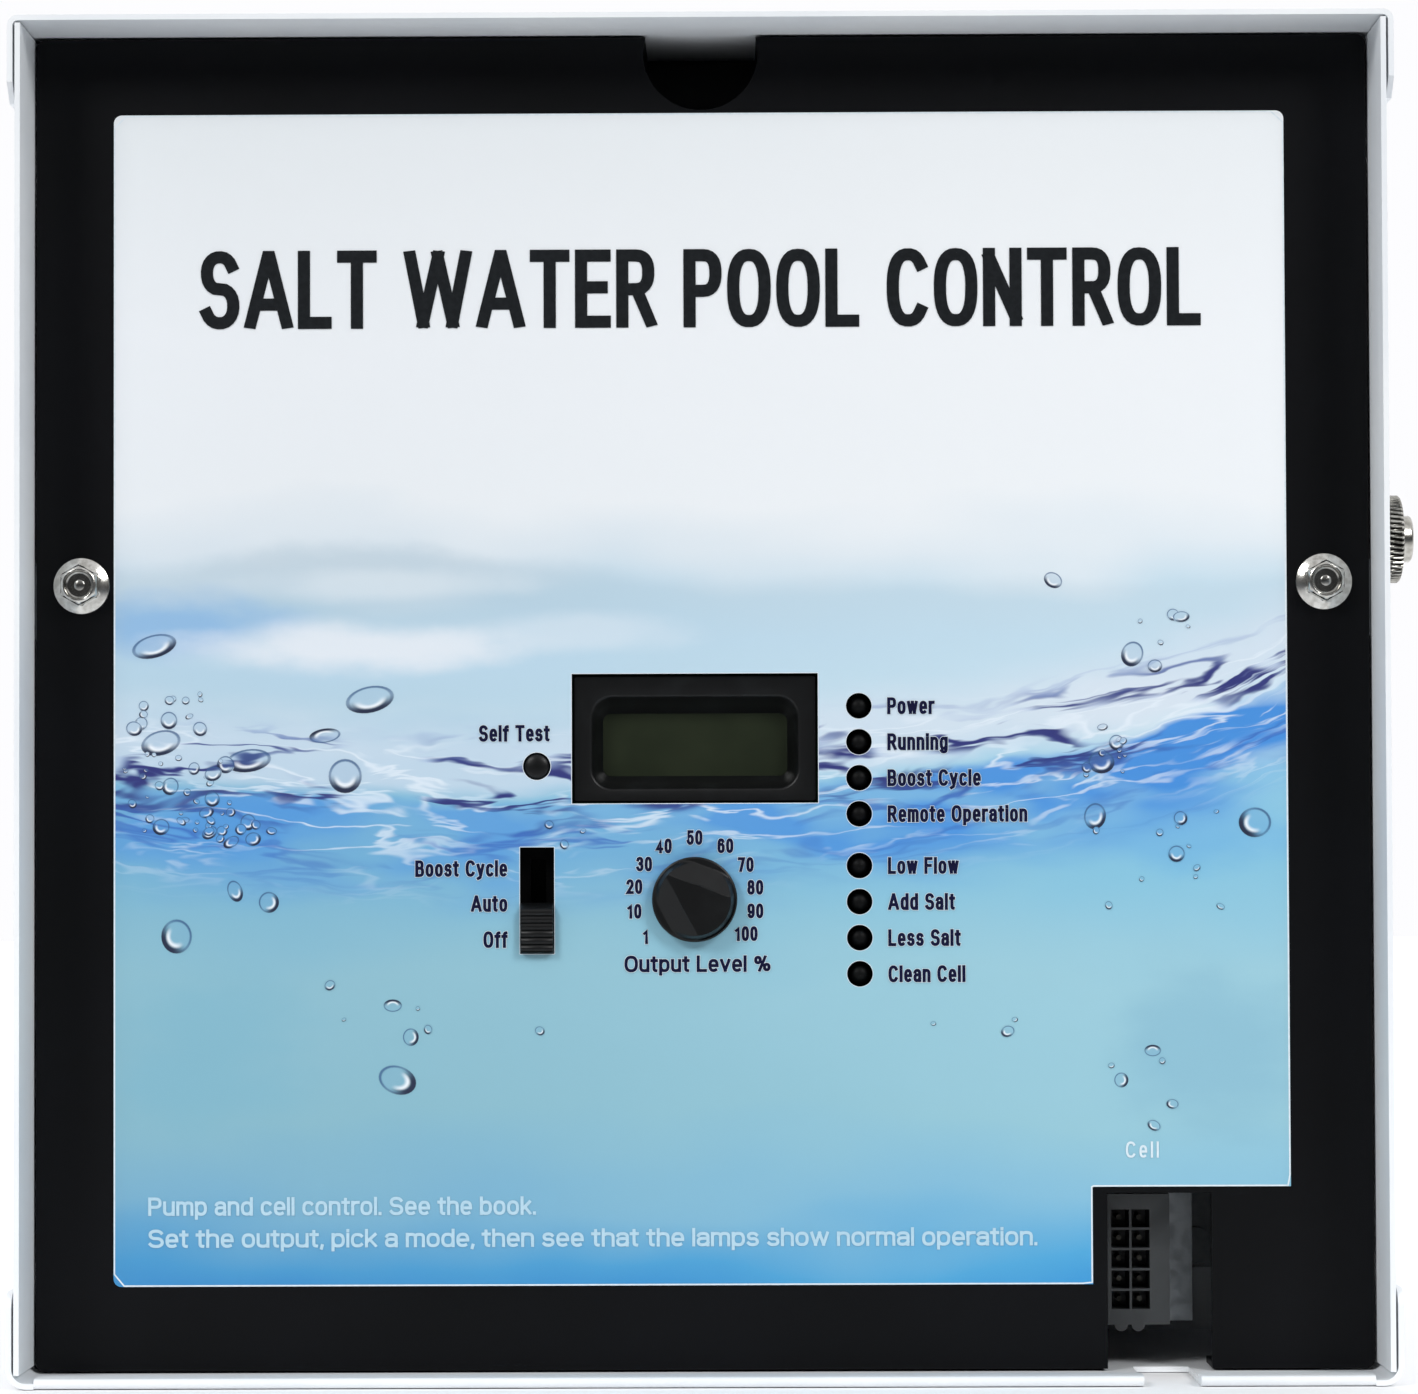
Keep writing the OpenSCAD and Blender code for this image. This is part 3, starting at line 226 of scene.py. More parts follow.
def plated(name, colour, dull, rough_low, rough_high, streak_mm):
    """Zinc or nickel plate on steel: a bright metal film over turning marks, with duller patches."""
    mat, tree, shader = new_material(name, Metallic=1.0)
    at = millimetres(tree)
    patch = between(tree, noise(tree, at, 1 / 2.5, 3.0), 0.35, 0.7)
    tree.links.new(blend(tree, patch, srgb(colour), srgb(dull)), shader.inputs["Base Color"])
    rough = add(tree, "MapRange", {0: patch, 3: rough_low, 4: rough_high}).outputs[0]
    tree.links.new(rough, shader.inputs["Roughness"])
    bump(tree, shader, noise(tree, at, 1 / streak_mm, 2.0), 0.2, 0.03)
    return mat


def plate_with_painted_groove_shade(name, bright, dull):
    """Metal plate that is bright on its crests, with painted shade that turns it near black low down in
    grooves and recesses. U of the piece's "groove" UV map is the share of that depth."""
    mat, tree, shader = new_material(name, Metallic=1.0, Roughness=0.2)
    depth = add(tree, "SeparateXYZ", {0: add(tree, "UVMap", uv_map="groove").outputs[0]}).outputs[0]
    wear = between(tree, noise(tree, millimetres(tree), 1 / 1.5, 2.0), 0.3, 0.7)
    metal = blend(tree, wear, srgb(bright), srgb(dull))
    # Painted shade: near black where the groove UV map says the point lies deep.
    tree.links.new(blend(tree, between(tree, depth, 0.12, 0.6), metal, srgb("#1b1a18")),
                   shader.inputs["Base Color"])
    return mat


def circuit_board(name):
    """Glass-epoxy board under green solder mask: copper tracks show as paler green lines."""
    mat, tree, shader = new_material(name, IOR=1.5, Roughness=0.32)
    at = millimetres(tree)
    tracks = add(tree, "TexBrick", {"Vector": at, "Scale": 0.22, "Mortar Size": 0.012,
                                    "Mortar": srgb("#3b8a55"), "Color1": srgb("#14512f"),
                                    "Color2": srgb("#175a35")})
    tree.links.new(tracks.outputs["Color"], shader.inputs["Base Color"])
    return mat


def wound_tape(name, centre):
    """Polyester tape wound round a ring core: overlapping turns run out from the middle."""
    mat, tree, shader = new_material(name, IOR=1.5, Roughness=0.38)
    at = millimetres(tree)
    local = add(tree, "VectorMath", {0: at, 1: tuple(1000 * c for c in centre)},
                operation="SUBTRACT").outputs[0]
    parts = add(tree, "SeparateXYZ", {0: local})
    turn = maths(tree, "ARCTAN2", parts.outputs[2], parts.outputs[0])
    wave = maths(tree, "SINE", times(tree, turn, 60.0))
    lap = between(tree, wave, -0.2, 1.0)
    tree.links.new(blend(tree, lap, srgb("#c79b32"), srgb("#dfc067")), shader.inputs["Base Color"])
    bump(tree, shader, lap, 0.5, 0.3)
    return mat


def ribbon_jacket(name, pitch_mm):
    """PVC ribbon cable: grey ridges side by side, paler on their crests and darker between them as painted
    highlight and shade, with one red edge wire.
    """
    mat, tree, shader = new_material(name, IOR=1.5, Roughness=0.45)
    parts = add(tree, "SeparateXYZ", {0: millimetres(tree)})
    ridge = maths(tree, "SINE", times(tree, parts.outputs[0], 2 * math.pi / pitch_mm))
    edge = maths(tree, "LESS_THAN", parts.outputs[0], 1000 * low("ribbon_cable")[0] + pitch_mm)
    # Painted highlight on the ridges' crests and painted shade between them.
    grey = blend(tree, between(tree, ridge, -1.0, 1.0), srgb("#7d8288"), srgb("#a9adb1"))
    tree.links.new(blend(tree, edge, grey, srgb("#a4322c")), shader.inputs["Base Color"])
    bump(tree, shader, ridge, 0.6, 0.2)
    return mat


def clear_or_dark(name, colour, tint, gloss, sheen=0.5):
    """Glass or clear plastic seen against a dark ground: deep colour under a clean gloss."""
    mat, tree, shader = new_material(name, IOR=1.5, Roughness=gloss, Specular_IOR_Level=sheen)
    cloud = noise(tree, millimetres(tree), 1 / 12, 2.0)
    tree.links.new(blend(tree, between(tree, cloud, 0.3, 0.7), srgb(colour), srgb(tint)),
                   shader.inputs["Base Color"])
    return mat


def nylon(name, colour, shade):
    """Natural nylon 6/6: milky and waxy, so light soaks in a little."""
    mat, tree, shader = new_material(name, IOR=1.53, Roughness=0.42)
    shader.inputs["Subsurface Weight"].default_value = 0.25
    shader.inputs["Subsurface Radius"].default_value = (1.2 * MM, 1.2 * MM, 1.0 * MM)
    shader.inputs["Subsurface Scale"].default_value = 1.0
    at = millimetres(tree)
    cloud = noise(tree, at, 1 / 6, 2.0)
    tree.links.new(blend(tree, between(tree, cloud, 0.3, 0.7), srgb(colour), srgb(shade)),
                   shader.inputs["Base Color"])
    bump(tree, shader, noise(tree, at, 1 / 0.4, 2.0), 0.15, 0.04)
    return mat


# ---------------------------------------------------------------- the printed picture

# Colours of the picture from its bottom edge to its top edge: (share of the height, colour)
SKY_TO_DEPTH = [
    (0.00, "#1f80c2"), (0.035, "#3c92c6"), (0.085, "#71a9c6"), (0.16, "#82b3c3"), (0.27, "#88b8c8"),
    (0.37, "#74b0cc"), (0.44, "#80b8d4"), (0.49, "#b2cfdf"), (0.545, "#b3d0e2"), (0.585, "#b6d0e0"),
    (0.625, "#d6e1e9"), (0.665, "#e6ebef"), (0.80, "#e9edf1"), (1.00, "#e4e9ec")]
PICTURE_HALF = 135.0                    # half the picture's height, in mm
# Soft patches of cloud and of open blue: (X, Z, half length, half height, share, colour), in mm
CLOUDS = [
    (-116, 17, 26, 8, 0.75, "#7fb0dd"), (-78, 12, 42, 6, 0.85, "#e6ebf1"), (-30, 15, 30, 5, 0.5, "#dbe6ef"),
    (-70, 26, 34, 4, 0.5, "#dfe8ee"), (95, -1, 30, 7, 0.45, "#dfeaf2"), (-100, -26, 30, 8, 0.6, "#4b95d6"),
    (110, -30, 24, 9, 0.5, "#5ba6dc"), (-110, -78, 26, 20, 0.35, "#6fadc4"),
    (112, -78, 22, 22, 0.4, "#74aac4")]


def sky_picture(tree, x, z, flat):
    """Sky, haze and clouds, and the clear water's slow change of colour with depth."""
    roll = noise(tree, stretched(tree, flat, 75, 34), 1.0, 2.0)
    height = maths(tree, "ADD", z, times(tree, maths(tree, "SUBTRACT", roll, 0.5), 30.0))
    sky = ramp(tree, between(tree, height, -PICTURE_HALF, PICTURE_HALF, smooth=False), SKY_TO_DEPTH)
    sky = blend(tree, times(tree, between(tree, x, -120.0, 120.0), 0.45), sky, srgb("#f6f9fb"), "SOFT_LIGHT")

    # Bank of haze whose crest swells by the bell curve exp(-((X + 78) / 48)^2)
    reach = times(tree, maths(tree, "ABSOLUTE", maths(tree, "ADD", x, 78.0)), 1 / 48)
    hump = maths(tree, "EXPONENT", times(tree, -1.0, maths(tree, "POWER", reach, 2.0)))
    fray = noise(tree, stretched(tree, flat, 22, 12), 1.0, 4.0)
    crest = maths(tree, "ADD", maths(tree, "MULTIPLY_ADD", hump, 9.0, 27.0),
                  maths(tree, "MULTIPLY_ADD", fray, 9.0, -4.5))
    bank = maths(tree, "SUBTRACT", crest, z)
    haze = times(tree, between(tree, bank, -1.5, 3.5), between(tree, bank, 26.0, 4.0))
    sky = blend(tree, times(tree, haze, maths(tree, "MULTIPLY_ADD", hump, 0.3, 0.15)), sky, srgb("#a3bccb"))

    for cx, cz, half_long, half_tall, share, colour in CLOUDS:
        off = stretched(tree, flat, half_long, half_tall, (-cx / half_long, -cz / half_tall, 0.0))
        apart = add(tree, "VectorMath", {0: off}, operation="LENGTH").outputs[1]
        torn = maths(tree, "ADD", apart, maths(tree, "MULTIPLY_ADD", fray, 1.3, -0.65))
        sky = blend(tree, times(tree, between(tree, torn, 1.25, 0.3), share), sky, srgb(colour))
    return sky


def above_wave(tree, x, z, flat):
    """Height above the wave's line: level with a slow swell on the left, and climbing with the square
    of the distance past X = 25 on the right, ruffled by noise."""
    climb = maths(tree, "POWER", maths(tree, "MAXIMUM", maths(tree, "SUBTRACT", x, 25.0), 0.0), 2.0)
    swell = times(tree, maths(tree, "SINE", times(tree, x, 1 / 34)), 2.6)
    line = maths(tree, "ADD", maths(tree, "MULTIPLY_ADD", climb, 0.0023, -19.5), swell)
    ruffle = noise(tree, stretched(tree, flat, 26, 9), 1.0, 3.0)
    ruffled = maths(tree, "ADD", line, maths(tree, "MULTIPLY_ADD", ruffle, 7.0, -3.5))
    return maths(tree, "SUBTRACT", z, ruffled)


def water_picture(tree):
    """Colour of the overlay's printed picture at each place: a pale sky, a wave that rises to the
    right, and clear water that deepens towards the bottom. All lengths are in millimetres."""
    parts = add(tree, "SeparateXYZ", {0: millimetres(tree)})
    x, z = parts.outputs[0], parts.outputs[2]
    flat = add(tree, "CombineXYZ", {0: x, 1: z}).outputs[0]
    sky = sky_picture(tree, x, z, flat)
    above = above_wave(tree, x, z, flat)

    # Pale foam band above the line, saturated blue below it, stronger on the right
    foam = times(tree, between(tree, above, -1.0, 4.0),
                 maths(tree, "SUBTRACT", 1.0, between(tree, above, 10.0, 24.0)))
    picture = blend(tree, times(tree, foam, 0.6), sky, srgb("#d9e1ec"))
    deep = times(tree, between(tree, above, 0.6, -2.5),
                 maths(tree, "SUBTRACT", 1.0, between(tree, above, -7.0, -30.0)))
    patch = noise(tree, stretched(tree, flat, 40, 13), 1.0, 2.0)
    deep = times(tree, deep, maths(tree, "ADD", 0.45, between(tree, patch, 0.40, 0.66)), clamp=True)
    strength = maths(tree, "MULTIPLY_ADD", between(tree, x, -120.0, 120.0), 0.45, 0.55)
    picture = blend(tree, times(tree, deep, strength), picture, srgb("#3f8cd8"))

    # Long thin strokes that run with the wave: white, blue and indigo
    along = add(tree, "CombineXYZ", {0: times(tree, x, 1 / 42), 1: times(tree, above, 1 / 7)}).outputs[0]
    stroke_a = noise(tree, along, 1.0, 3.0, 0.55, 0.6)
    ridge_a = maths(tree, "ABSOLUTE", maths(tree, "SUBTRACT", stroke_a, 0.5))
    shifted = add(tree, "VectorMath", {0: along, 1: (7.3, 3.1, 0.0)}, operation="ADD").outputs[0]
    stroke_b = noise(tree, shifted, 1.35, 3.0, 0.55, 0.5)
    ridge_b = maths(tree, "ABSOLUTE", maths(tree, "SUBTRACT", stroke_b, 0.5))
    fade = noise(tree, stretched(tree, flat, 30, 11, (4.0, 9.0, 0.0)), 1.0, 1.0)
    near = times(tree, between(tree, above, -26.0, -4.0), between(tree, above, 17.0, 9.0))
    white = times(tree, times(tree, between(tree, ridge_b, 0.05, 0.0), near), between(tree, fade, 0.66, 0.42))
    picture = blend(tree, times(tree, white, 0.7), picture, srgb("#e3edf6"))
    blue = times(tree, times(tree, between(tree, ridge_a, 0.06, 0.0), near), 0.9)
    picture = blend(tree, times(tree, blue, between(tree, fade, 0.38, 0.6)), picture, srgb("#2d62b8"))
    dark_near = times(tree, between(tree, above, -9.0, 0.0), between(tree, above, 15.0, 7.0))
    dark = times(tree, times(tree, between(tree, ridge_a, 0.06, 0.012), dark_near),
                 between(tree, fade, 0.44, 0.54))
    return blend(tree, times(tree, dark, 0.95), picture, srgb("#20226e"))


SATIN_FILM = {"IOR": 1.58, "Roughness": 0.42, "Coat_Weight": 0.15, "Coat_Roughness": 0.3}


def overlay_print():
    """Polycarbonate overlay printed on its back: a satin clear film with the picture under it."""
    mat, tree, shader = new_material("overlay_print", **SATIN_FILM)
    tree.links.new(water_picture(tree), shader.inputs["Base Color"])
    bump(tree, shader, noise(tree, millimetres(tree), 1 / 0.3, 1.0), 0.12, 0.02)
    return mat


def bubble_print():
    """Bubbles of the same print. Each disc's UV map holds the cosine of the angle from its shaded side
    in U and the distance from its middle in V: a dark rim on the shaded side, a pale glint inside it."""
    mat, tree, shader = new_material("bubble_print", **SATIN_FILM)
    water = water_picture(tree)
    uv = add(tree, "SeparateXYZ", {0: add(tree, "UVMap", uv_map="bubble").outputs[0]})
    facing, out = uv.outputs[0], uv.outputs[1]
    shaded = between(tree, facing, -0.25, 0.9)
    lit = between(tree, facing, 0.1, -0.9)
    rim = times(tree, between(tree, out, 0.52, 0.78), between(tree, out, 1.0, 0.95))
    thin = times(tree, between(tree, out, 0.78, 0.88), between(tree, out, 1.0, 0.94))
    glint = times(tree, between(tree, out, 0.30, 0.55), between(tree, out, 0.74, 0.60))
    colour = blend(tree, times(tree, between(tree, out, 1.0, 0.8), 0.18), water, srgb("#5d8fb8"))
    colour = blend(tree, times(tree, glint, times(tree, shaded, 0.85)), colour, srgb("#f4f8fc"))
    colour = blend(tree, times(tree, thin, maths(tree, "MULTIPLY_ADD", lit, 0.3, 0.55)), colour,
                   srgb("#2c5684"))
    colour = blend(tree, times(tree, rim, shaded), colour, srgb("#0f1d3c"))
    tree.links.new(colour, shader.inputs["Base Color"])
    return mat


def ink(name, colour, second):
    """Screen ink under the film: solid colour with the slight mottling of a printed area."""
    mat, tree, shader = new_material(name, IOR=1.5, Roughness=0.5, Specular_IOR_Level=0.12)
    mottle = between(tree, noise(tree, millimetres(tree), 1 / 1.2, 2.0), 0.3, 0.7)
    tree.links.new(blend(tree, mottle, srgb(colour), srgb(second)), shader.inputs["Base Color"])
    return mat


POWDER_WHITE = powder_coat("powder_white_steel", "#f1f4f6", "#e9edf1", 1.1, 0.40)
PANEL_BLACK = powder_coat("satin_black_powder_coat", "#07080a", "#0a0b0e", 0.7, 0.42, 0.12)
BLACK_ABS = moulded("black_moulded_abs", "#08090a", "#101213", 0.36, sheen=0.25)
SLOT_BLACK = moulded("switch_housing_black", "#030304", "#060607", 0.6, sheen=0.08)
NICKEL = plated("nickel_plate", "#b4b3ac", "#8f8e86", 0.14, 0.3, 0.35)
INNER_ZINC = plated("zinc_plated_steel", "#8d9194", "#85898c", 0.35, 0.45, 0.8)
# Painted shade: the socket's tinned pins are darkened for the shade deep inside the socket.
TINNED = plated("tinned_pins_darkened_as_painted_shade", "#4c4a44", "#3c3b37", 0.45, 0.6, 0.4)
BRASS = plated("turned_brass", "#c9a457", "#a88540", 0.25, 0.4, 0.5)
ALUMINIUM = plated("extruded_aluminium", "#c4c7c9", "#aeb2b5", 0.35, 0.5, 0.6)
BOARD = circuit_board("green_circuit_board")
OVERLAY = overlay_print()
BUBBLE = bubble_print()
HEADING_INK = ink("heading_ink", "#14171a", "#1b1e21")
NAVY_INK = ink("navy_ink", "#0a0c2c", "#101336")
PALE_INK = ink("pale_ink", "#d2dfea", "#dbe6ef")
WHITE_INK = ink("pale_blue_ink", "#afd0e1", "#b8d6e5")
SOCKET_INK = ink("white_ink", "#d3e3ec", "#dbe9f0")
# Painted highlight: pale ink lines stand for the light caught by the film's cut edges.
FILM_EDGE_HIGHLIGHT = ink("film_edge_painted_highlight", "#d9e4ea", "#e4ecf1")
DISPLAY = clear_or_dark("display_glass_olive", "#23291d", "#282e21", 0.12)
LENS = clear_or_dark("smoked_lamp_lens", "#040405", "#070809", 0.5, 0.12)
FUSE = clear_or_dark("fuse_glass_tube", "#c9d3d4", "#b9c4c6", 0.05)
# Painted shade: the socket's natural nylon is given a dark grey for the deep shade in its bay.
NYLON = nylon("socket_nylon_darkened_as_painted_shade", "#36393b", "#2e3133")
WASHER_NYLON = nylon("white_nylon", "#eef2f5", "#e4e9ee")
GREY_HOUSING = moulded("grey_moulded_housing", "#9fa3a5", "#b1b4b6", 0.45)
BLUE_CASE = moulded("blue_component_case", "#23508c", "#2c5c9c", 0.4)
GREEN_CASE = moulded("green_terminal_case", "#2b7742", "#35864c", 0.45)
RUBBER = moulded("black_rubber_pad", "#141414", "#1c1c1c", 0.7)
WIRE = moulded("red_wire_insulation", "#8e2b26", "#a23630", 0.45)
TAPE = wound_tape("yellow_winding_tape", middle("transformer_winding"))
RIBBON = ribbon_jacket("grey_ribbon_cable", 1.27)

FINISH = {
    "powder_white": POWDER_WHITE, "panel_black": PANEL_BLACK, "label_print": OVERLAY,
    "zinc_plate": INNER_ZINC, "bright_nickel": NICKEL, "black_abs": BLACK_ABS,
    "display_glass": DISPLAY, "smoked_lens": LENS, "board_green": BOARD, "brass": BRASS,
    "housing_grey": GREY_HOUSING, "housing_blue": BLUE_CASE, "fuse_glass": FUSE,
    "terminal_green": GREEN_CASE, "bare_aluminium": ALUMINIUM, "winding_tape": TAPE,
    "black_rubber": RUBBER, "wire_insulation": WIRE, "nylon_natural": NYLON,
}
SLOT_OF = {part["node"]: part["material_slot"] for part in frame["record"]["subparts"]}
BODY_OF = {node: body for body, nodes in frame["record"]["behaviour"]["bodies"].items() for node in nodes}
for node_name, obj in NODES.items():
    for place in obj.material_slots:
        place.material = FINISH[SLOT_OF[node_name]]
for node_name, finish in (("ribbon_cable", RIBBON), ("mode_switch_body", SLOT_BLACK),
                          ("thumb_washer", WASHER_NYLON), ("cell_contacts", TINNED)):
    NODES[node_name].material_slots[0].material = finish


# ---------------------------------------------------------------- mesh helpers

def place_piece(name, mesh, finish, like, stands_for=()):
    """Makes an object of the mesh with the given finish, rides it with a CAD node's body, and hides the CAD
    nodes it stands for.
    """
    piece = bpy.data.objects.new(name, mesh)
    bpy.context.scene.collection.objects.link(piece)
    mesh.materials.clear()
    mesh.materials.append(finish)
    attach(piece, BODY_OF[like])
    if stands_for:
        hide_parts(*stands_for)
    return piece


def grid_faces(rows, columns, start, wrap_rows, wrap_columns):
    """Quads of a rows by columns grid of points whose first index is start."""
    i = np.arange(rows if wrap_rows else rows - 1)[:, None]
    j = np.arange(columns if wrap_columns else columns - 1)[None, :]
    ni, nj = (i + 1) % rows, (j + 1) % columns
    quads = np.stack([i * columns + j, i * columns + nj, ni * columns + nj, ni * columns + j], axis=-1)
    return quads.reshape(-1, 4) + start


def mesh_of(name, patches, closed=True, smooth=35.0, uv=None):
    """Mesh made of patches (points[rows, columns, 3], wrap rows, wrap columns). A closed one has its
    doubles merged, so rows that shrink to a point make a pole, and its normals turned outwards."""
    points, faces, start = [], [], 0
    for grid, wrap_rows, wrap_columns in patches:
        rows, columns = grid.shape[:2]
        points.append(grid.reshape(-1, 3))
        faces.append(grid_faces(rows, columns, start, wrap_rows, wrap_columns))
        start += rows * columns
    mesh = bpy.data.meshes.new(name)
    mesh.from_pydata(np.concatenate(points), [], np.concatenate(faces).tolist())
    if uv is not None:
        layer = mesh.uv_layers.new(name=uv[0])
        index = np.empty(len(mesh.loops), dtype=np.int32)
        mesh.loops.foreach_get("vertex_index", index)
        layer.data.foreach_set("uv", uv[1][index].astype(np.float32).ravel())
    if closed:
        shape = bmesh.new()
        shape.from_mesh(mesh)
        bmesh.ops.remove_doubles(shape, verts=shape.verts, dist=1e-7)
        bmesh.ops.recalc_face_normals(shape, faces=shape.faces)
        shape.to_mesh(mesh)
        shape.free()
    mesh.polygons.foreach_set("use_smooth", np.ones(len(mesh.polygons), dtype=bool))
    mesh.set_sharp_from_angle(angle=math.radians(smooth))
    return mesh


def softened(node, width_mm):
    """A CAD node's shape with its triangles merged into flat faces and its sharp edges rounded."""
    mesh = NODES[node].data.copy()
    shape = bmesh.new()
    shape.from_mesh(mesh)
    bmesh.ops.remove_doubles(shape, verts=shape.verts, dist=1e-6)
    bmesh.ops.dissolve_limit(shape, angle_limit=math.radians(0.5), verts=shape.verts, edges=shape.edges)
    shape.to_mesh(mesh)
    shape.free()
    mesh.polygons.foreach_set("use_smooth", np.ones(len(mesh.polygons), dtype=bool))
    mesh.set_sharp_from_angle(angle=math.radians(35))
    piece = place_piece(node + "_shell", mesh, NODES[node].material_slots[0].material, node, (node,))
    rounding = piece.modifiers.new("edge_rounding", "BEVEL")
    rounding.width = width_mm * MM
    rounding.segments = 2
    rounding.limit_method = "ANGLE"
    rounding.angle_limit = math.radians(40)
    rounding.harden_normals = True
    return piece


def turned(profile, steps, centre, corners=0, turn=0.0):
    """Surface turned about an axis along -Y: profile is a list of (radius, height, hexness) in mm,
    height measured from the centre towards the front. Where hexness is above 0 the radius follows a
    polygon: half the flats / cos(angle from the middle of the nearest flat)."""
    angle = np.linspace(0, 2 * math.pi, steps, endpoint=False) + turn
    sector = 2 * math.pi / max(corners, 3)
    off = (angle + sector / 2) % sector - sector / 2
    polygon = 1 / np.cos(off)
    rows = []
    for radius, height, hexness in profile:
        reach = radius * (1 + hexness * (polygon - 1))
        ring = (reach * np.cos(angle), np.full(steps, -height), reach * np.sin(angle))
        rows.append(np.stack(ring, axis=1))
    return np.array(rows) * MM + np.array(centre)


def round_loop(width, height, radius, depth, centre, per_corner=8):
    """Closed loop of a rectangle with round corners in the XZ plane: four quarter circles joined."""
    quarter = np.linspace(0, math.pi / 2, per_corner)
    points = []
    for k, (sx, sz) in enumerate(((1, 1), (-1, 1), (-1, -1), (1, -1))):
        angle = quarter + k * math.pi / 2
        points.append(np.stack([sx * (width / 2 - radius) + radius * np.cos(angle),
                                np.zeros(per_corner),
                                sz * (height / 2 - radius) + radius * np.sin(angle)], axis=1))
    loop = np.concatenate(points)
    return loop * MM + np.array([centre[0], depth, centre[1]])


# ---------------------------------------------------------------- detailed pieces

HEX_FLATS = 8.0                         # across the flats of a panel screw's head, in mm
FLANGE_ACROSS = 12.5                    # across the flange of its CAD piece
RECESS_RADIUS = 3.2                     # of the dimple in its head, darkened by painted shade


def flange_screw(centre):
    """Flange-head hex screw: a domed washer face under a hexagon with a chamfered, dimpled top."""
    head = HEX_FLATS / 2
    flange = [(0.01, 0.0, 0), (6.15, 0.0, 0), (6.3, 0.12, 0), (6.32, 0.3, 0), (6.2, 0.5, 0), (5.6, 0.85, 0),
              (4.9, 1.15, 0), (4.35, 1.4, 0.2)]
    hexagon = [(head - 0.05, 1.62, 1), (head, 1.8, 1), (head, 4.7, 1), (head - 0.12, 5.0, 0.85),
               (3.85, 5.3, 0.35), (3.6, 5.5, 0.05)]
    recess = [(3.4, 5.55, 0), (RECESS_RADIUS, 5.5, 0), (3.05, 5.1, 0), (2.95, 4.3, 0), (2.6, 4.05, 0),
              (1.2, 4.0, 0), (0.9, 4.15, 0), (0.01, 4.2, 0)]
    return turned(flange + hexagon + recess, 72, centre, corners=6, turn=math.radians(11))


def screw_shank(centre):
    """Plain shank of a panel screw, from its chamfered tip to just under the flange."""
    profile = [(0.01, -7.4, 0), (2.2, -7.4, 0), (2.5, -7.0, 0), (2.5, -0.02, 0), (0.01, -0.02, 0)]
    return turned(profile, 32, centre)


def make_panel_screws():
    """Both panel screws, replacing the plain CAD ones with their shanks. The UV map carries painted shade
    into the recess.
    """
    patches, shade = [], []
    box_low, box_high = low("panel_screws"), high("panel_screws")
    flange = FLANGE_ACROSS / 2 * MM
    for x in (box_low[0] + flange, box_high[0] - flange):
        centre = (x, PANEL_FACE, (box_low[2] + box_high[2]) / 2)
        for grid in (flange_screw(centre), screw_shank(centre)):
            patches.append((grid, False, True))
            reach = np.hypot(grid[..., 0] - centre[0], grid[..., 2] - centre[2]).ravel() / MM
            rise = (centre[1] - grid[..., 1]).ravel() / MM
            painted_recess_shade = np.clip((RECESS_RADIUS - reach) / 0.3, 0, 0.34) * (rise > 0)
            shade.append(np.stack([painted_recess_shade, rise], axis=1))
    mesh = mesh_of("flange_head_screws", patches, smooth=28, uv=("groove", np.concatenate(shade)))
    # Painted shade darkens the dimple in each screw head.
    finish = plate_with_painted_groove_shade("bright_zinc_plate_screws", "#dcdbd6", "#bbb9b3")
    place_piece("flange_head_screws", mesh, finish, "panel_screws", ("panel_screws",))


def make_thumb_nut():
    """Knurled thumb nut about an axis along +X: rows run from the wall outwards. The rim's radius is
    R - tooth * (1 - |cos(teeth * (angle + slant * distance) / 2)|): slanted, round-topped teeth. The UV
    map holds each point's share of the groove's depth."""
    box_low, box_high = low("thumb_nut"), high("thumb_nut")
    axis = ((box_low[1] + box_high[1]) / 2, (box_low[2] + box_high[2]) / 2)
    outer = (box_high[2] - box_low[2]) / 2 / MM
    length = (box_high[0] - box_low[0]) / MM
    bore = (high("thumb_stud")[2] - low("thumb_stud")[2]) / 2 / MM * 5 / 8 + 0.05
    teeth, slant, tooth = 50, 0.05, 1.0
    steps = teeth * 10
    angle = np.linspace(0, 2 * math.pi, steps, endpoint=False)
    rim = [(0.0, outer - 1.0, 0.2), (0.3, outer - 0.25, 1), (0.6, outer, 1), (2.4, outer, 1),
           (4.3, outer, 1), (4.75, outer - 0.4, 1), (5.0, outer - 1.2, 0.5)]
    boss = [(5.05, 5.9, 0), (5.15, 5.35, 0), (5.4, 5.25, 0), (6.9, 5.25, 0), (7.25, 5.05, 0),
            (length, 4.6, 0)]
    profile = [(0.0, bore, 0)] + rim + boss + [(length, bore, 0)]
    rows, shade = [], []
    for along, radius, cut in profile:
        share = cut * (1 - np.abs(np.cos(teeth * (angle + slant * along) / 2)))
        reach = radius - tooth * share
        ring = (np.full(steps, along), reach * np.cos(angle), reach * np.sin(angle))
        rows.append(np.stack(ring, axis=1))
        shade.append(np.stack([share, np.full(steps, along)], axis=1))
    grid = np.array(rows) * MM + np.array([box_low[0], axis[0], axis[1]])
    mesh = mesh_of("knurled_thumb_nut", [(grid, True, True)], smooth=30,
                   uv=("groove", np.array(shade).reshape(-1, 2)))
    # Painted shade darkens the knurl's grooves by their depth.
    finish = plate_with_painted_groove_shade("knurled_nickel_plate", "#c9c7c0", "#aaa8a0")
    place_piece("knurled_thumb_nut", mesh, finish, "thumb_nut", ("thumb_nut",))


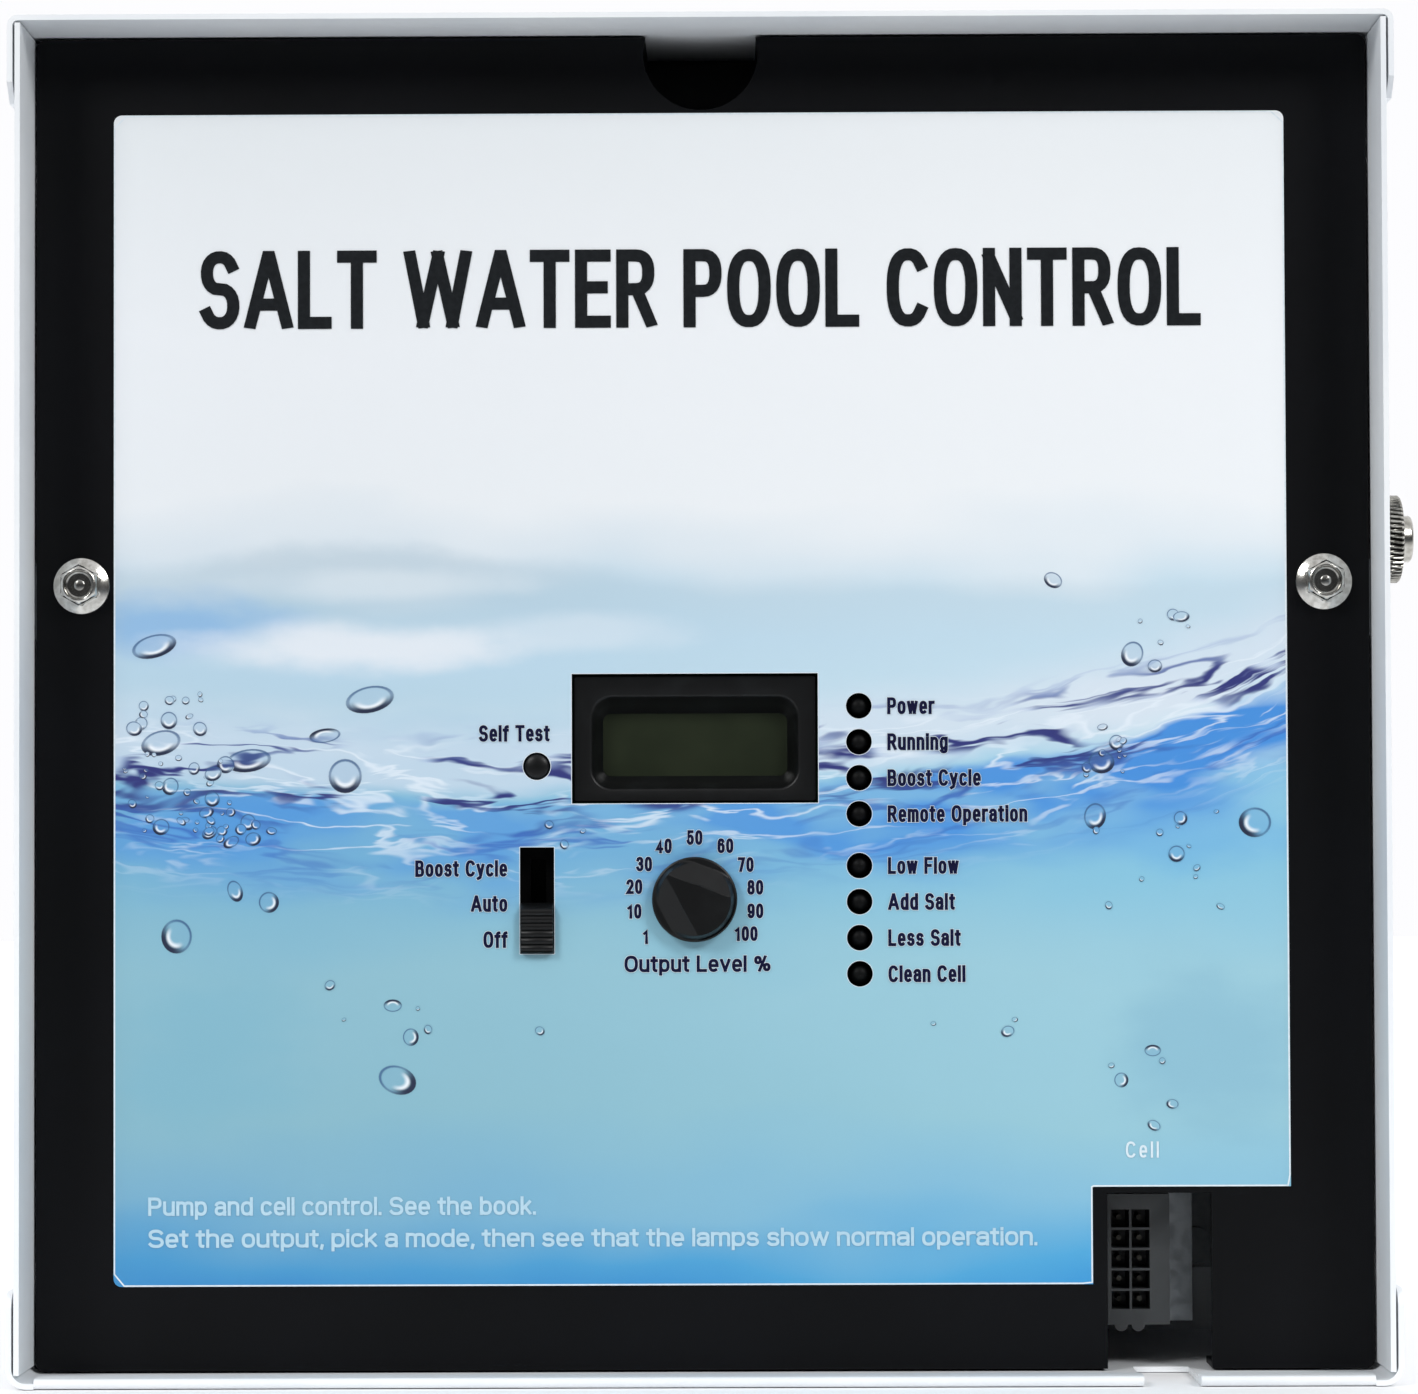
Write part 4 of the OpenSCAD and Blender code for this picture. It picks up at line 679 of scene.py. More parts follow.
def make_output_knob():
    """Knob: a skirt with a rounded rim, and a top whose height is level on a wedge that points at the
    scale and slopes away on both sides of it at the scoop's angle, down to the skirt."""
    centre = middle("output_knob")
    back = high("output_knob")[1]
    radius = (high("output_knob")[0] - low("output_knob")[0]) / 2 / MM
    tall = (back - low("output_knob")[1]) / MM
    skirt, rim = 2.5, 0.55
    pointer = math.radians(139)
    half_angle, slope = math.radians(21), math.tan(math.radians(33))
    steps = 192
    angle = np.linspace(0, 2 * math.pi, steps, endpoint=False)
    out = np.concatenate([np.linspace(0.001, radius - rim - 0.5, 46),
                          np.linspace(radius - rim - 0.3, radius - rim, 4)])
    r, a = np.meshgrid(out, angle, indexing="ij")
    along = r * np.cos(a - pointer)
    across = np.abs(r * np.sin(a - pointer))
    edge = (radius - rim - along) * math.sin(half_angle) - across * math.cos(half_angle)
    fall = np.maximum(-edge, 0.0) * slope
    wedge = np.where(edge > 0, tall, np.maximum(tall - 0.15 - fall, skirt))
    lip = np.clip((radius - rim - r) / 0.8, 0, 1)
    top = skirt + (wedge - skirt) * lip
    top = top - 0.25 * (along / radius) ** 2 * (edge > 0)
    rows = [np.stack([r * np.cos(a), -top, r * np.sin(a)], axis=2)]
    rounded_side = ((radius - 0.35, skirt - 0.02), (radius - 0.12, skirt - 0.14), (radius, skirt - 0.4),
                    (radius, 0.3), (radius - 0.25, 0.0), (0.001, 0.0))
    for reach, height in rounded_side:
        ring = (reach * np.cos(angle), np.full(steps, -height), reach * np.sin(angle))
        rows.append(np.stack(ring, axis=1)[None])
    grid = np.concatenate(rows) * MM + np.array([centre[0], back, centre[2]])
    place_piece("pointer_knob", mesh_of("pointer_knob", [(grid, False, True)], smooth=24), BLACK_ABS,
                "output_knob", ("output_knob",))


def make_mode_slider():
    """Slide button: a side profile drawn in Y and Z, with six round-topped finger ribs and a sloped
    shoulder above them, carried across the width."""
    box_low, box_high = low("mode_slider"), high("mode_slider")
    front, bottom, top = box_low[1], box_low[2], box_high[2]
    pitch, count, dip = 1.6 * MM, 6, 0.45 * MM
    rib_z = np.linspace(0, count * pitch, count * 12 + 1)
    wave = dip * (1 - np.abs(np.sin(math.pi * rib_z / pitch)) ** 0.6)
    ribs = np.stack([front + wave, bottom + 0.3 * MM + rib_z], axis=1)
    back = front + 9.2 * MM                              # of the finger piece; a stem goes on behind
    outline = np.concatenate([
        [[back, bottom], [front + 0.6 * MM, bottom], [front + 0.15 * MM, bottom + 0.12 * MM]], ribs,
        [[front + 0.7 * MM, top - 1.1 * MM], [front + 1.9 * MM, top - 0.25 * MM], [front + 2.6 * MM, top],
         [back, top]]])
    bevel = 0.15 * MM
    sides = np.array([box_low[0], box_low[0] + bevel, box_high[0] - bevel, box_high[0]])
    inset = np.array([1.0, 0.0, 0.0, 1.0]) * bevel
    centre = outline.mean(axis=0)
    rows = [np.tile(centre, (len(outline), 1))]
    for shrink in inset:
        rows.append(outline + np.sign(centre - outline) * shrink)
    rows.append(rows[0])
    xs = np.concatenate([[sides[0]], sides, [sides[-1]]])
    grid = np.array([np.concatenate([np.full((len(outline), 1), x), row], axis=1)
                     for x, row in zip(xs, rows)])
    stem_centre = ((box_low[0] + box_high[0]) / 2, (bottom + top) / 2)
    stem = np.array([round_loop(3.0, 5.0, 0.3, y, stem_centre) for y in (back, box_high[1])])
    ends = [np.tile(loop.mean(axis=0), (1, len(stem[0]), 1)) for loop in stem]
    stem = np.concatenate([ends[0], stem, ends[1]])
    mesh = mesh_of("slide_button", [(grid, False, True), (stem, False, True)], smooth=40)
    place_piece("slide_button", mesh, BLACK_ABS, "mode_slider", ("mode_slider",))


def make_diagnostic_button():
    """Push button: a domed cap, h = H * sqrt(1 - (r / R)^2) near its rim, on a plain stem."""
    box_low, box_high = low("diagnostic_button"), high("diagnostic_button")
    centre = middle("diagnostic_button")
    radius = (box_high[0] - box_low[0]) / 2 / MM
    depth = (box_high[1] - box_low[1]) / MM
    dome = 0.9
    profile = [(radius * math.sin(t), dome * math.cos(t) - dome, 0)
               for t in np.linspace(0.001, math.pi / 2, 14)]
    profile += [(radius, -6.3, 0), (radius - 0.2, -6.5, 0), (1.2, -6.5, 0), (1.2, -depth, 0),
                (0.001, -depth, 0)]
    grid = turned(profile, 48, (centre[0], box_low[1], centre[2]))
    mesh = mesh_of("domed_push_button", [(grid, False, True)], smooth=40)
    place_piece("domed_push_button", mesh, BLACK_ABS, "diagnostic_button", ("diagnostic_button",))


def make_lamps():
    """Eight lamp bodies: a half-ball lens on a straight skirt with a base flange."""
    box_low, box_high = low("led_lamps"), high("led_lamps")
    x = (box_low[0] + box_high[0]) / 2
    lens = 2.5
    profile = [(lens * math.sin(t), lens * math.cos(t) - lens, 0)
               for t in np.linspace(0.001, math.pi / 2, 12)]
    depth = (box_high[1] - box_low[1]) / MM
    foot = LAMP_FLANGE / MM
    profile += [(lens, -depth + 1, 0), (foot, -depth + 1, 0), (foot, -depth, 0), (0.001, -depth, 0)]
    patches = [(turned(profile, 40, (x, box_low[1], z)), False, True) for z in LAMP_HEIGHTS]
    mesh = mesh_of("lamp_lenses", patches, smooth=40)
    place_piece("lamp_lenses", mesh, LENS, "led_lamps", ("led_lamps",))


def make_display_frame():
    """Display frame: round-cornered loops from the back of the frame over its front lip, down the
    sloped mouth to the glass, and back to the start."""
    box_low, box_high = low("lcd_bezel"), high("lcd_bezel")
    centre = ((box_low[0] + box_high[0]) / 2, (box_low[2] + box_high[2]) / 2)
    width, height = (box_high[0] - box_low[0]) / MM - 5.8, (box_high[2] - box_low[2]) / MM - 5.8
    front, back = box_low[1], box_high[1]
    glass = low("lcd_glass")[1]
    mouth_c = (centre[0], centre[1] - 0.9 * MM)
    glass_c = (middle("lcd_glass")[0], middle("lcd_glass")[2])
    lip_back = front + 0.6 * MM
    loops = [
        round_loop(width, height, 0.3, back, centre),
        round_loop(width, height, 0.3, lip_back + 1.2 * MM, centre),
        round_loop(width, height, 0.3, lip_back + 0.2 * MM, centre),
        round_loop(width, height, 0.4, front + 0.25 * MM, centre),
        round_loop(width - 0.3, height - 0.3, 0.5, front, centre),
        round_loop(46.8, 21.4, 4.8, front, mouth_c),
        round_loop(46.2, 20.8, 4.6, front + 0.12 * MM, mouth_c),
        round_loop(45.6, 20.2, 4.5, front + 0.5 * MM, mouth_c),
        round_loop(43.6, 17.4, 3.6, front + 3.4 * MM,
                   ((mouth_c[0] + glass_c[0]) / 2, (mouth_c[1] + glass_c[1]) / 2)),
        round_loop(41.5, 14.4, 2.0, glass - 0.25 * MM, glass_c),
        round_loop(41.2, 14.0, 1.8, glass - 0.02 * MM, glass_c),
        round_loop(50.0, 20.0, 1.8, glass - 0.02 * MM, glass_c),
        round_loop(50.0, 20.0, 1.8, back, glass_c)]
    mesh = mesh_of("display_frame", [(np.array(loops), True, True)], smooth=32)
    place_piece("display_frame", mesh, BLACK_ABS, "lcd_bezel", ("lcd_bezel",))


# ---------------------------------------------------------------- print on the overlay

def annulus(centre, inner, outer, steps=64):
    """Flat ring in the XZ plane, wound so that it faces the front."""
    angle = np.linspace(0, 2 * math.pi, steps, endpoint=False)
    across, up = MM * np.cos(angle), MM * np.sin(angle)
    return np.array([np.stack([centre[0] + r * across, np.zeros(steps), centre[1] + r * up], axis=1)
                     for r in (inner, outer)])


def frame_ring(centre, width, height, radius, line):
    """Flat line round a rectangle."""
    inner = round_loop(width, height, radius, 0, centre)
    outer = round_loop(width + 2 * line, height + 2 * line, radius + line, 0, centre)
    return np.array([inner, outer])


def print_rings():
    """Painted highlight of the film's cut edges, drawn as pale flat lines round the lamp holes, the window,
    the slot and the button, in mm.
    """
    lamp_hole, button_hole = (2.86, 2.98), (3.06, 3.2)       # inner and outer radius of each line
    window, slot = (54.72, 28.82), (7.62, 23.67)             # width and height inside each line
    lamps, button, bezel = middle("led_lamps"), middle("diagnostic_button"), middle("lcd_bezel")
    housing = (low("mode_switch_body") + high("mode_switch_body")) / 2
    grids = [annulus((lamps[0], z), *lamp_hole) for z in LAMP_HEIGHTS]
    grids.append(annulus((button[0], button[2]), *button_hole))
    grids.append(frame_ring((bezel[0], bezel[2]), *window, 0.1, 0.16))
    grids.append(frame_ring((housing[0], housing[2]), *slot, 0.1, 0.14))
    for grid in grids:
        grid[..., 1] = LABEL_FACE - INK
    mesh = mesh_of("film_edge_highlight_rings", [(grid, False, True) for grid in grids], closed=False)
    mesh.flip_normals()
    place_piece("film_edge_highlight_rings", mesh, FILM_EDGE_HIGHLIGHT, "front_label")


def print_border():
    """Painted highlight: a pale line just inside the overlay's edge, where the edge catches light, stepped
    like it beside the socket.
    """
    inside, line = 0.2, 0.34
    left, right = low("front_label")[0] / MM + inside, high("front_label")[0] / MM - inside
    bottom, top = low("front_label")[2] / MM + inside, high("front_label")[2] / MM - inside
    notch_wide, notch_tall = 43.9, 21.5
    step_x, step_z = right - notch_wide, bottom + notch_tall
    corners = [(left, top), (left, bottom), (step_x, bottom), (step_x, step_z), (right, step_z), (right, top)]
    path = []
    for (x0, z0), (x1, z1) in zip(corners, corners[1:] + corners[:1]):
        path += [(x0 + (x1 - x0) * t, z0 + (z1 - z0) * t) for t in (0.01, 0.5, 0.99)]
    rows = ribbon(path + path[:1], line, 2 * bottom, 2 * top)
    grid = np.zeros(rows.shape[:2] + (3,))
    grid[..., 0], grid[..., 2] = rows[..., 0] * MM, rows[..., 1] * MM
    grid[..., 1] = LABEL_FACE - INK
    mesh = mesh_of("film_edge_highlight_border", [(grid, False, False)], closed=False)
    place_piece("film_edge_highlight_border", mesh, FILM_EDGE_HIGHLIGHT, "front_label")


def bubble_list():
    """Bubbles of the picture: (x, z, half width, half height, turn, shaded side), in mm and degrees.
    A few large ones near the wave on both sides and a seeded scatter of small ones round them."""
    pick = random.Random(11)
    found = [(-101, -13, 5.2, 2.6, 8, -95), (-74, 0.5, 5.6, 3.0, 12, -80), (-79.5, -16.5, 3.8, 3.9, 0, -90),
             (-84, -7.5, 3.6, 1.6, 8, 120), (-117, -52, 3.5, 3.9, 0, -140), (-104, -42, 1.7, 2.5, 20, -60),
             (-96.5, -44.5, 2.3, 2.4, 0, -30), (-120.5, -9, 4.6, 2.8, 15, -100),
             (-122, 12.5, 5.2, 2.6, 15, -60), (-68, -84, 4.4, 3.2, -20, -30), (-65, -74.5, 1.8, 2.0, 0, -20),
             (-69, -67.5, 2.1, 1.4, 0, 90), (85, 1.5, 10.5, 3.4, 22, -80), (95.5, 10, 2.5, 2.9, -20, -120),
             (122.5, -27.5, 3.7, 3.4, 0, -150), (87, -26, 2.5, 3.0, -10, -60), (88.5, -14, 3.0, 2.6, 0, -70),
             (75, -42, 2.8, 2.6, 0, -110), (78, 26.5, 2.2, 1.7, -30, -120), (92.5, -84.5, 1.6, 1.7, 0, -20),
             (99.5, -78, 1.9, 1.3, 0, 90)]
    # Nests of small ones: (x, z, half width, half height, how many)
    nests = [(-118, -20, 12, 9, 34), (-104, -26, 9, 6, 14), (-119, -3, 9, 5, 12), (82, -12, 13, 6, 40),
             (74, -17, 10, 3, 14), (104, 14, 8, 7, 6), (100, -35, 18, 12, 12), (-62, -62, 26, 24, 6),
             (60, -60, 24, 14, 5), (-30, -26, 10, 6, 5), (98, -88, 9, 8, 4)]
    for x, z, wide, tall, count in nests:
        for _ in range(count):
            size = 0.5 + 1.5 * pick.random() ** 2
            found.append((x + wide * pick.uniform(-1, 1), z + tall * pick.uniform(-1, 1), size,
                          size * pick.uniform(0.6, 1.15), pick.uniform(-40, 40), pick.uniform(-150, -30)))
    return found


BUBBLE_REACH = 129.0                    # how far from the overlay's middle a bubble may reach, in mm


def print_bubbles():
    """Each bubble is a disc of rings: x = a r cos t, z = b r sin t, turned. Its UV holds the cosine
    of the angle from the shaded side, and the distance from its middle. Those that would lie under
    the controls' openings or lettering, or past the overlay's edge, are left out."""
    # Areas without bubbles: (left, right, bottom, top), in mm
    blocked = [(-39.0, 35.6, -24.0, 7.0), (-55.0, -33.0, -19.0, -5.0), (-44.0, -32.0, -57.0, -32.0),
               (-20.0, 17.0, -66.0, -28.0), (30.0, 84.0, -66.0, 4.0), (-82.0, -42.0, -57.0, -34.0)]
    label = (-0.5, 0.8)                                  # middle of the overlay
    patches, uvs = [], []
    rings, steps = np.linspace(0.02, 1, 8), 28
    t = np.linspace(0, 2 * math.pi, steps, endpoint=False)
    for k, (x, z, a, b, turn, shade) in enumerate(bubble_list()):
        if any(x0 - a < x < x1 + a and z0 - b < z < z1 + b for x0, x1, z0, z1 in blocked):
            continue
        if abs(x - label[0]) + a > BUBBLE_REACH or abs(z - label[1]) + b > BUBBLE_REACH:
            continue
        turn, shade = math.radians(turn), math.radians(shade)
        r, angle = np.meshgrid(rings, t, indexing="ij")
        px, pz = a * r * np.cos(angle), b * r * np.sin(angle)
        grid = np.stack([(x + px * math.cos(turn) - pz * math.sin(turn)) * MM,
                         np.full(r.shape, LABEL_FACE - (1.0 + 0.02 * k) * INK),
                         (z + px * math.sin(turn) + pz * math.cos(turn)) * MM], axis=2)
        patches.append((grid, False, True))
        uvs.append(np.stack([np.cos(angle + turn - shade), r], axis=2).reshape(-1, 2))
    mesh = mesh_of("printed_bubbles", patches, closed=False, uv=("bubble", np.concatenate(uvs)))
    mesh.flip_normals()
    place_piece("printed_bubbles", mesh, BUBBLE, "front_label")


def arc(cx, cy, rx, ry, start, end, steps=14, squareness=2.5):
    """Part of a superellipse, angles in degrees: x = cx + rx sign(cos) |cos|^(2/n), y likewise by sin."""
    angle = np.radians(np.linspace(start, end, steps))
    c, s = np.cos(angle), np.sin(angle)
    power = 2 / squareness
    return [(cx + rx * cc, cy + ry * ss) for cc, ss in
            zip(np.sign(c) * np.abs(c) ** power, np.sign(s) * np.abs(s) ** power)]


# Plain grotesque lettering as pen strokes. Each letter is the width between its outer strokes and a list
# of strokes; heights run from 0 at the baseline to 1 for capitals, and X is the height of small letters.
X = 0.74
BOWL = arc(0.23, X / 2, 0.23, X / 2, 90, 450, 26)
ARCH = arc(0.22, X - 0.24, 0.22, 0.24, 180, 0)
LETTERS = {
    " ": (0.09, []),
    "A": (0.72, [[(0, 0), (0.34, 1), (0.38, 1), (0.72, 0)], [(0.14, 0.28), (0.58, 0.28)]]),
    "B": (0.54, [[(0.28, 0.53), (0, 0.53), (0, 1), (0.28, 1)] + arc(0.28, 0.765, 0.21, 0.235, 90, -90),
                 [(0, 0.5), (0, 0), (0.28, 0)] + arc(0.28, 0.265, 0.26, 0.265, -90, 90)]),
    "C": (0.60, [arc(0.31, 0.5, 0.31, 0.5, 40, 320, 26)]),
    "E": (0.48, [[(0.48, 1), (0, 1), (0, 0), (0.48, 0)], [(0, 0.52), (0.42, 0.52)]]),
    "F": (0.46, [[(0.46, 1), (0, 1), (0, 0)], [(0, 0.50), (0.39, 0.50)]]),
    "D": (0.56, [[(0, 0.5), (0, 1), (0.24, 1)] + arc(0.24, 0.5, 0.32, 0.5, 90, -90, 20)
                 + [(0, 0), (0, 0.5)]]),
    "L": (0.44, [[(0, 1), (0, 0), (0.44, 0)]]),
    "N": (0.54, [[(0, 0), (0, 1)], [(0.01, 0.94), (0.53, 0.06)], [(0.54, 0), (0.54, 1)]]),
    "O": (0.64, [arc(0.32, 0.5, 0.32, 0.5, 90, 450, 34)]),
    "P": (0.53, [[(0, 0), (0, 1), (0.27, 1)] + arc(0.27, 0.73, 0.26, 0.27, 90, -90) + [(0, 0.46)]]),
    "R": (0.56, [[(0, 0), (0, 1), (0.27, 1)] + arc(0.27, 0.745, 0.26, 0.255, 90, -90) + [(0, 0.49)],
                 [(0.30, 0.47), (0.56, 0)]]),
    "S": (0.56, [arc(0.28, 0.755, 0.26, 0.245, 25, 250, 16, 2.2)
                 + arc(0.28, 0.26, 0.28, 0.26, 70, -155, 16, 2.2)]),
    "T": (0.56, [[(0, 1), (0.56, 1)], [(0.28, 1), (0.28, 0)]]),
    "W": (1.12, [[(0, 1), (0.26, 0)], [(0.26, 0), (0.56, 1)], [(0.56, 1), (0.86, 0)],
                 [(0.86, 0), (1.12, 1)]]),
    "a": (0.43, [arc(0.215, X - 0.22, 0.215, 0.22, 160, 0) + [(0.43, 0)],
                 [(0.43, 0.43), (0.2, 0.42)] + arc(0.19, 0.21, 0.19, 0.21, 90, 270)
                 + [(0.3, 0.02), (0.43, 0.16)]]),
    "b": (0.46, [[(0, 0), (0, 1)], BOWL]),
    "c": (0.43, [arc(0.23, X / 2, 0.23, X / 2, 45, 315, 20)]),
    "d": (0.46, [[(0.46, 0), (0.46, 1)], BOWL]),
    "e": (0.45, [arc(0.23, X / 2, 0.22, X / 2, 0, 302, 24), [(0.08, 0.36), (0.45, 0.36)]]),
    "f": (0.24, [[(0.1, 0), (0.1, 0.8)] + arc(0.28, 0.8, 0.18, 0.2, 180, 95, 8), [(-0.04, X), (0.26, X)]]),
    "g": (0.46, [BOWL, [(0.46, X), (0.46, -0.05)] + arc(0.23, -0.05, 0.23, 0.2, 0, -150, 12)]),
    "h": (0.44, [[(0, 0), (0, 1)], ARCH + [(0.44, 0)]]),
    "i": (0.0, [[(0, 0), (0, X)], [(0, 0.985), (0, 1)]]),
    "k": (0.40, [[(0, 0), (0, 1)], [(0.38, X), (0.02, 0.26)], [(0.14, 0.42), (0.40, 0)]]),
    "l": (0.0, [[(0, 0), (0, 1)]]),
    "m": (0.72, [[(0, 0), (0, X)], arc(0.18, X - 0.2, 0.18, 0.2, 180, 0) + [(0.36, 0)],
                 arc(0.54, X - 0.2, 0.18, 0.2, 180, 0) + [(0.72, 0)]]),
    "n": (0.44, [[(0, 0), (0, X)], ARCH + [(0.44, 0)]]),
    "o": (0.46, [BOWL]),
    "p": (0.46, [[(0, X), (0, -0.25)], BOWL]),
    "r": (0.24, [[(0, 0), (0, X)], arc(0.24, X - 0.26, 0.24, 0.26, 175, 85, 8)]),
    "s": (0.42, [arc(0.21, 0.555, 0.19, 0.185, 25, 250, 12, 2.2)
                 + arc(0.21, 0.2, 0.21, 0.2, 70, -155, 12, 2.2)]),
    "t": (0.24, [[(0.1, 0.94), (0.1, 0.16)] + arc(0.24, 0.16, 0.14, 0.16, 180, 265, 6),
                 [(-0.03, X), (0.25, X)]]),
    "u": (0.44, [[(0, X)] + arc(0.22, 0.24, 0.22, 0.24, 180, 360) + [(0.44, 0.3)], [(0.44, 0), (0.44, X)]]),
    "v": (0.46, [[(0, X), (0.23, 0)], [(0.23, 0), (0.46, X)]]),
    "w": (0.70, [[(0, X), (0.17, 0)], [(0.17, 0), (0.35, X)], [(0.35, X), (0.53, 0)],
                 [(0.53, 0), (0.70, X)]]),
    "y": (0.46, [[(0, X), (0.24, 0.02)], [(0.46, X), (0.2, -0.16), (0.02, -0.24)]]),
    "0": (0.44, [arc(0.22, 0.5, 0.22, 0.5, 90, 450, 28)]),
    "1": (0.30, [[(0.24, 0), (0.24, 1), (0.04, 0.78)]]),
    "2": (0.44, [arc(0.22, 0.72, 0.22, 0.28, 165, -25, 14, 2.2) + [(0.0, 0.0), (0.44, 0)]]),
    "3": (0.44, [arc(0.22, 0.755, 0.20, 0.245, 160, -80, 14, 2.2),
                 arc(0.22, 0.27, 0.22, 0.27, 85, -160, 14, 2.2)]),
    "4": (0.46, [[(0.34, 0), (0.34, 1), (0, 0.24), (0.46, 0.24)]]),
    "5": (0.44, [[(0.40, 1), (0.08, 1), (0.04, 0.5)] + arc(0.22, 0.32, 0.22, 0.32, 125, -160, 18, 2.2)]),
    "6": (0.44, [arc(0.22, 0.6, 0.22, 0.4, 35, 180, 10) + [(0, 0.3)],
                 arc(0.22, 0.31, 0.22, 0.31, 90, 450, 24)]),
    "7": (0.42, [[(0, 1), (0.42, 1), (0.14, 0)]]),
    "8": (0.44, [arc(0.22, 0.765, 0.19, 0.235, 90, 450, 22), arc(0.22, 0.27, 0.22, 0.27, 90, 450, 24)]),
    "9": (0.44, [arc(0.22, 0.4, 0.22, 0.4, 215, 360, 10) + [(0.44, 0.7)],
                 arc(0.22, 0.69, 0.22, 0.31, 90, 450, 24)]),
    "%": (0.86, [arc(0.16, 0.76, 0.14, 0.2, 90, 450, 18), arc(0.70, 0.24, 0.14, 0.2, 90, 450, 18),
                 [(0.60, 1), (0.26, 0)]]),
    ".": (0.0, [[(0, 0), (0, 0.02)]]),
    ",": (0.02, [[(0.03, 0.02), (0, -0.14)]]),
}


STROKE_STEP = 0.006 * MM                # between the strokes of a letter
STROKE_RISE = 0.004 * MM                # from the start to the end of one stroke


def ribbon(line, wide, low_edge, high_edge):
    """Two rows of points at half the pen's width on each side of a line. Each end runs on by half the
    pen's width, inner points move along the mitre, and the feet are cut level with the line of print."""
    line = np.array(line, dtype=float)
    keep = np.concatenate([[True], np.linalg.norm(np.diff(line, axis=0), axis=1) > 1e-6])
    line = line[keep]
    step = np.diff(line, axis=0)
    step /= np.linalg.norm(step, axis=1)[:, None]
    round_trip = len(line) > 6 and np.linalg.norm(line[0] - line[-1]) < 1e-4
    if not round_trip:
        line[0] -= step[0] * wide / 2
        line[-1] += step[-1] * wide / 2
    ahead, behind = np.vstack([step, step[-1:]]), np.vstack([step[:1], step])
    if round_trip:
        ahead[-1], behind[0] = step[0], step[-1]
    mean = ahead + behind
    mean /= np.linalg.norm(mean, axis=1)[:, None]
    reach = wide / 2 / np.clip((mean * ahead).sum(axis=1), 0.45, 1.0)
    side = np.stack([-mean[:, 1], mean[:, 0]], axis=1) * reach[:, None]
    rows = np.stack([line - side, line + side])
    rows[..., 1] = np.clip(rows[..., 1], low_edge, high_edge)
    return rows


def line_of_print(words, cap_mm, pen_mm, squeeze, spacing):
    """Strokes of a line of print as (centre line, low edge, high edge, order), in mm, and its width.
    Centre lines keep half a pen inside the letter's height; spacing is the clear gap between letters."""
    tall, half = cap_mm - pen_mm, pen_mm / 2
    strokes, pen_x = [], 0.0
    for letter in words:
        width, lines = LETTERS[letter]
        foot = -0.3 * tall if letter in "gpy," else 0.0
        for order, line in enumerate(lines):
            placed = [(pen_x + half + x * tall * squeeze, half + y * tall) for x, y in line]
            strokes.append((placed, foot, cap_mm, order))
        pen_x += width * tall * squeeze + pen_mm + spacing
    return strokes, pen_x - spacing


def print_words(name, words, x, z, cap_mm, finish, layer, squeeze=0.8, width_mm=None, align="left",
                pen=0.19, grow=0.0, spacing=0.075):
    """Lettering with its baseline at z and its left, right or middle at x, all in mm. pen and spacing
    are shares of the capitals' height; width_mm, where given, sets how far the letters are squeezed;
    grow makes every stroke wider by that much on both sides, for an outline. Strokes lie a few
    thousandths of a millimetre apart, and each rises a little along itself, so none lies in another."""
    pen_mm, gap = pen * cap_mm, spacing * cap_mm
    strokes, width = line_of_print(words, cap_mm, pen_mm, squeeze, gap)
    if width_mm:
        fixed = line_of_print(words, cap_mm, pen_mm, 0.0, gap)[1]
        squeeze *= (width_mm - fixed) / (width - fixed)
        strokes, width = line_of_print(words, cap_mm, pen_mm, squeeze, gap)
    start = x - {"left": 0.0, "right": width, "middle": width / 2}[align]
    patches = []
    for line, low_edge, high_edge, order in strokes:
        rows = ribbon(line, pen_mm + 2 * grow, low_edge - grow, high_edge + grow)
        grid = np.zeros(rows.shape[:2] + (3,))
        grid[..., 0] = (start + rows[..., 0]) * MM
        along = np.linspace(0.0, 1.0, grid.shape[1])[None, :]
        grid[..., 1] = LABEL_FACE - layer * INK - order * STROKE_STEP - along * STROKE_RISE
        grid[..., 2] = (z + rows[..., 1]) * MM
        patches.append((grid, False, False))
    mesh = mesh_of(name, patches, closed=False)
    mesh.flip_normals()
    place_piece(name, mesh, finish, "front_label")


def print_marking(name, words, x, z, cap_mm, **options):
    """Navy lettering with a pale outline under it."""
    print_words(name + "_outline", words, x, z, cap_mm, PALE_INK, 5.0, grow=0.11, **options)
    print_words(name, words, x, z, cap_mm, NAVY_INK, 6.0, **options)


def print_dial():
    """Output scale: numbers 1 and 10 to 100 round the knob, each placed by the cosine and sine of its
    angle from the right."""
    knob, reach = middle("output_knob") / MM, 13.7
    for i, angle in enumerate((217, 191, 168, 145, 120, 90, 60, 34, 11, -11, -34)):
        words = "1" if i == 0 else str(10 * i)
        x = knob[0] + reach * math.cos(math.radians(angle))
        z = knob[2] + reach * math.sin(math.radians(angle)) - 1.6
        print_marking("dial_" + words, words, x, z, 3.3, align="middle", squeeze=0.85, pen=0.205)


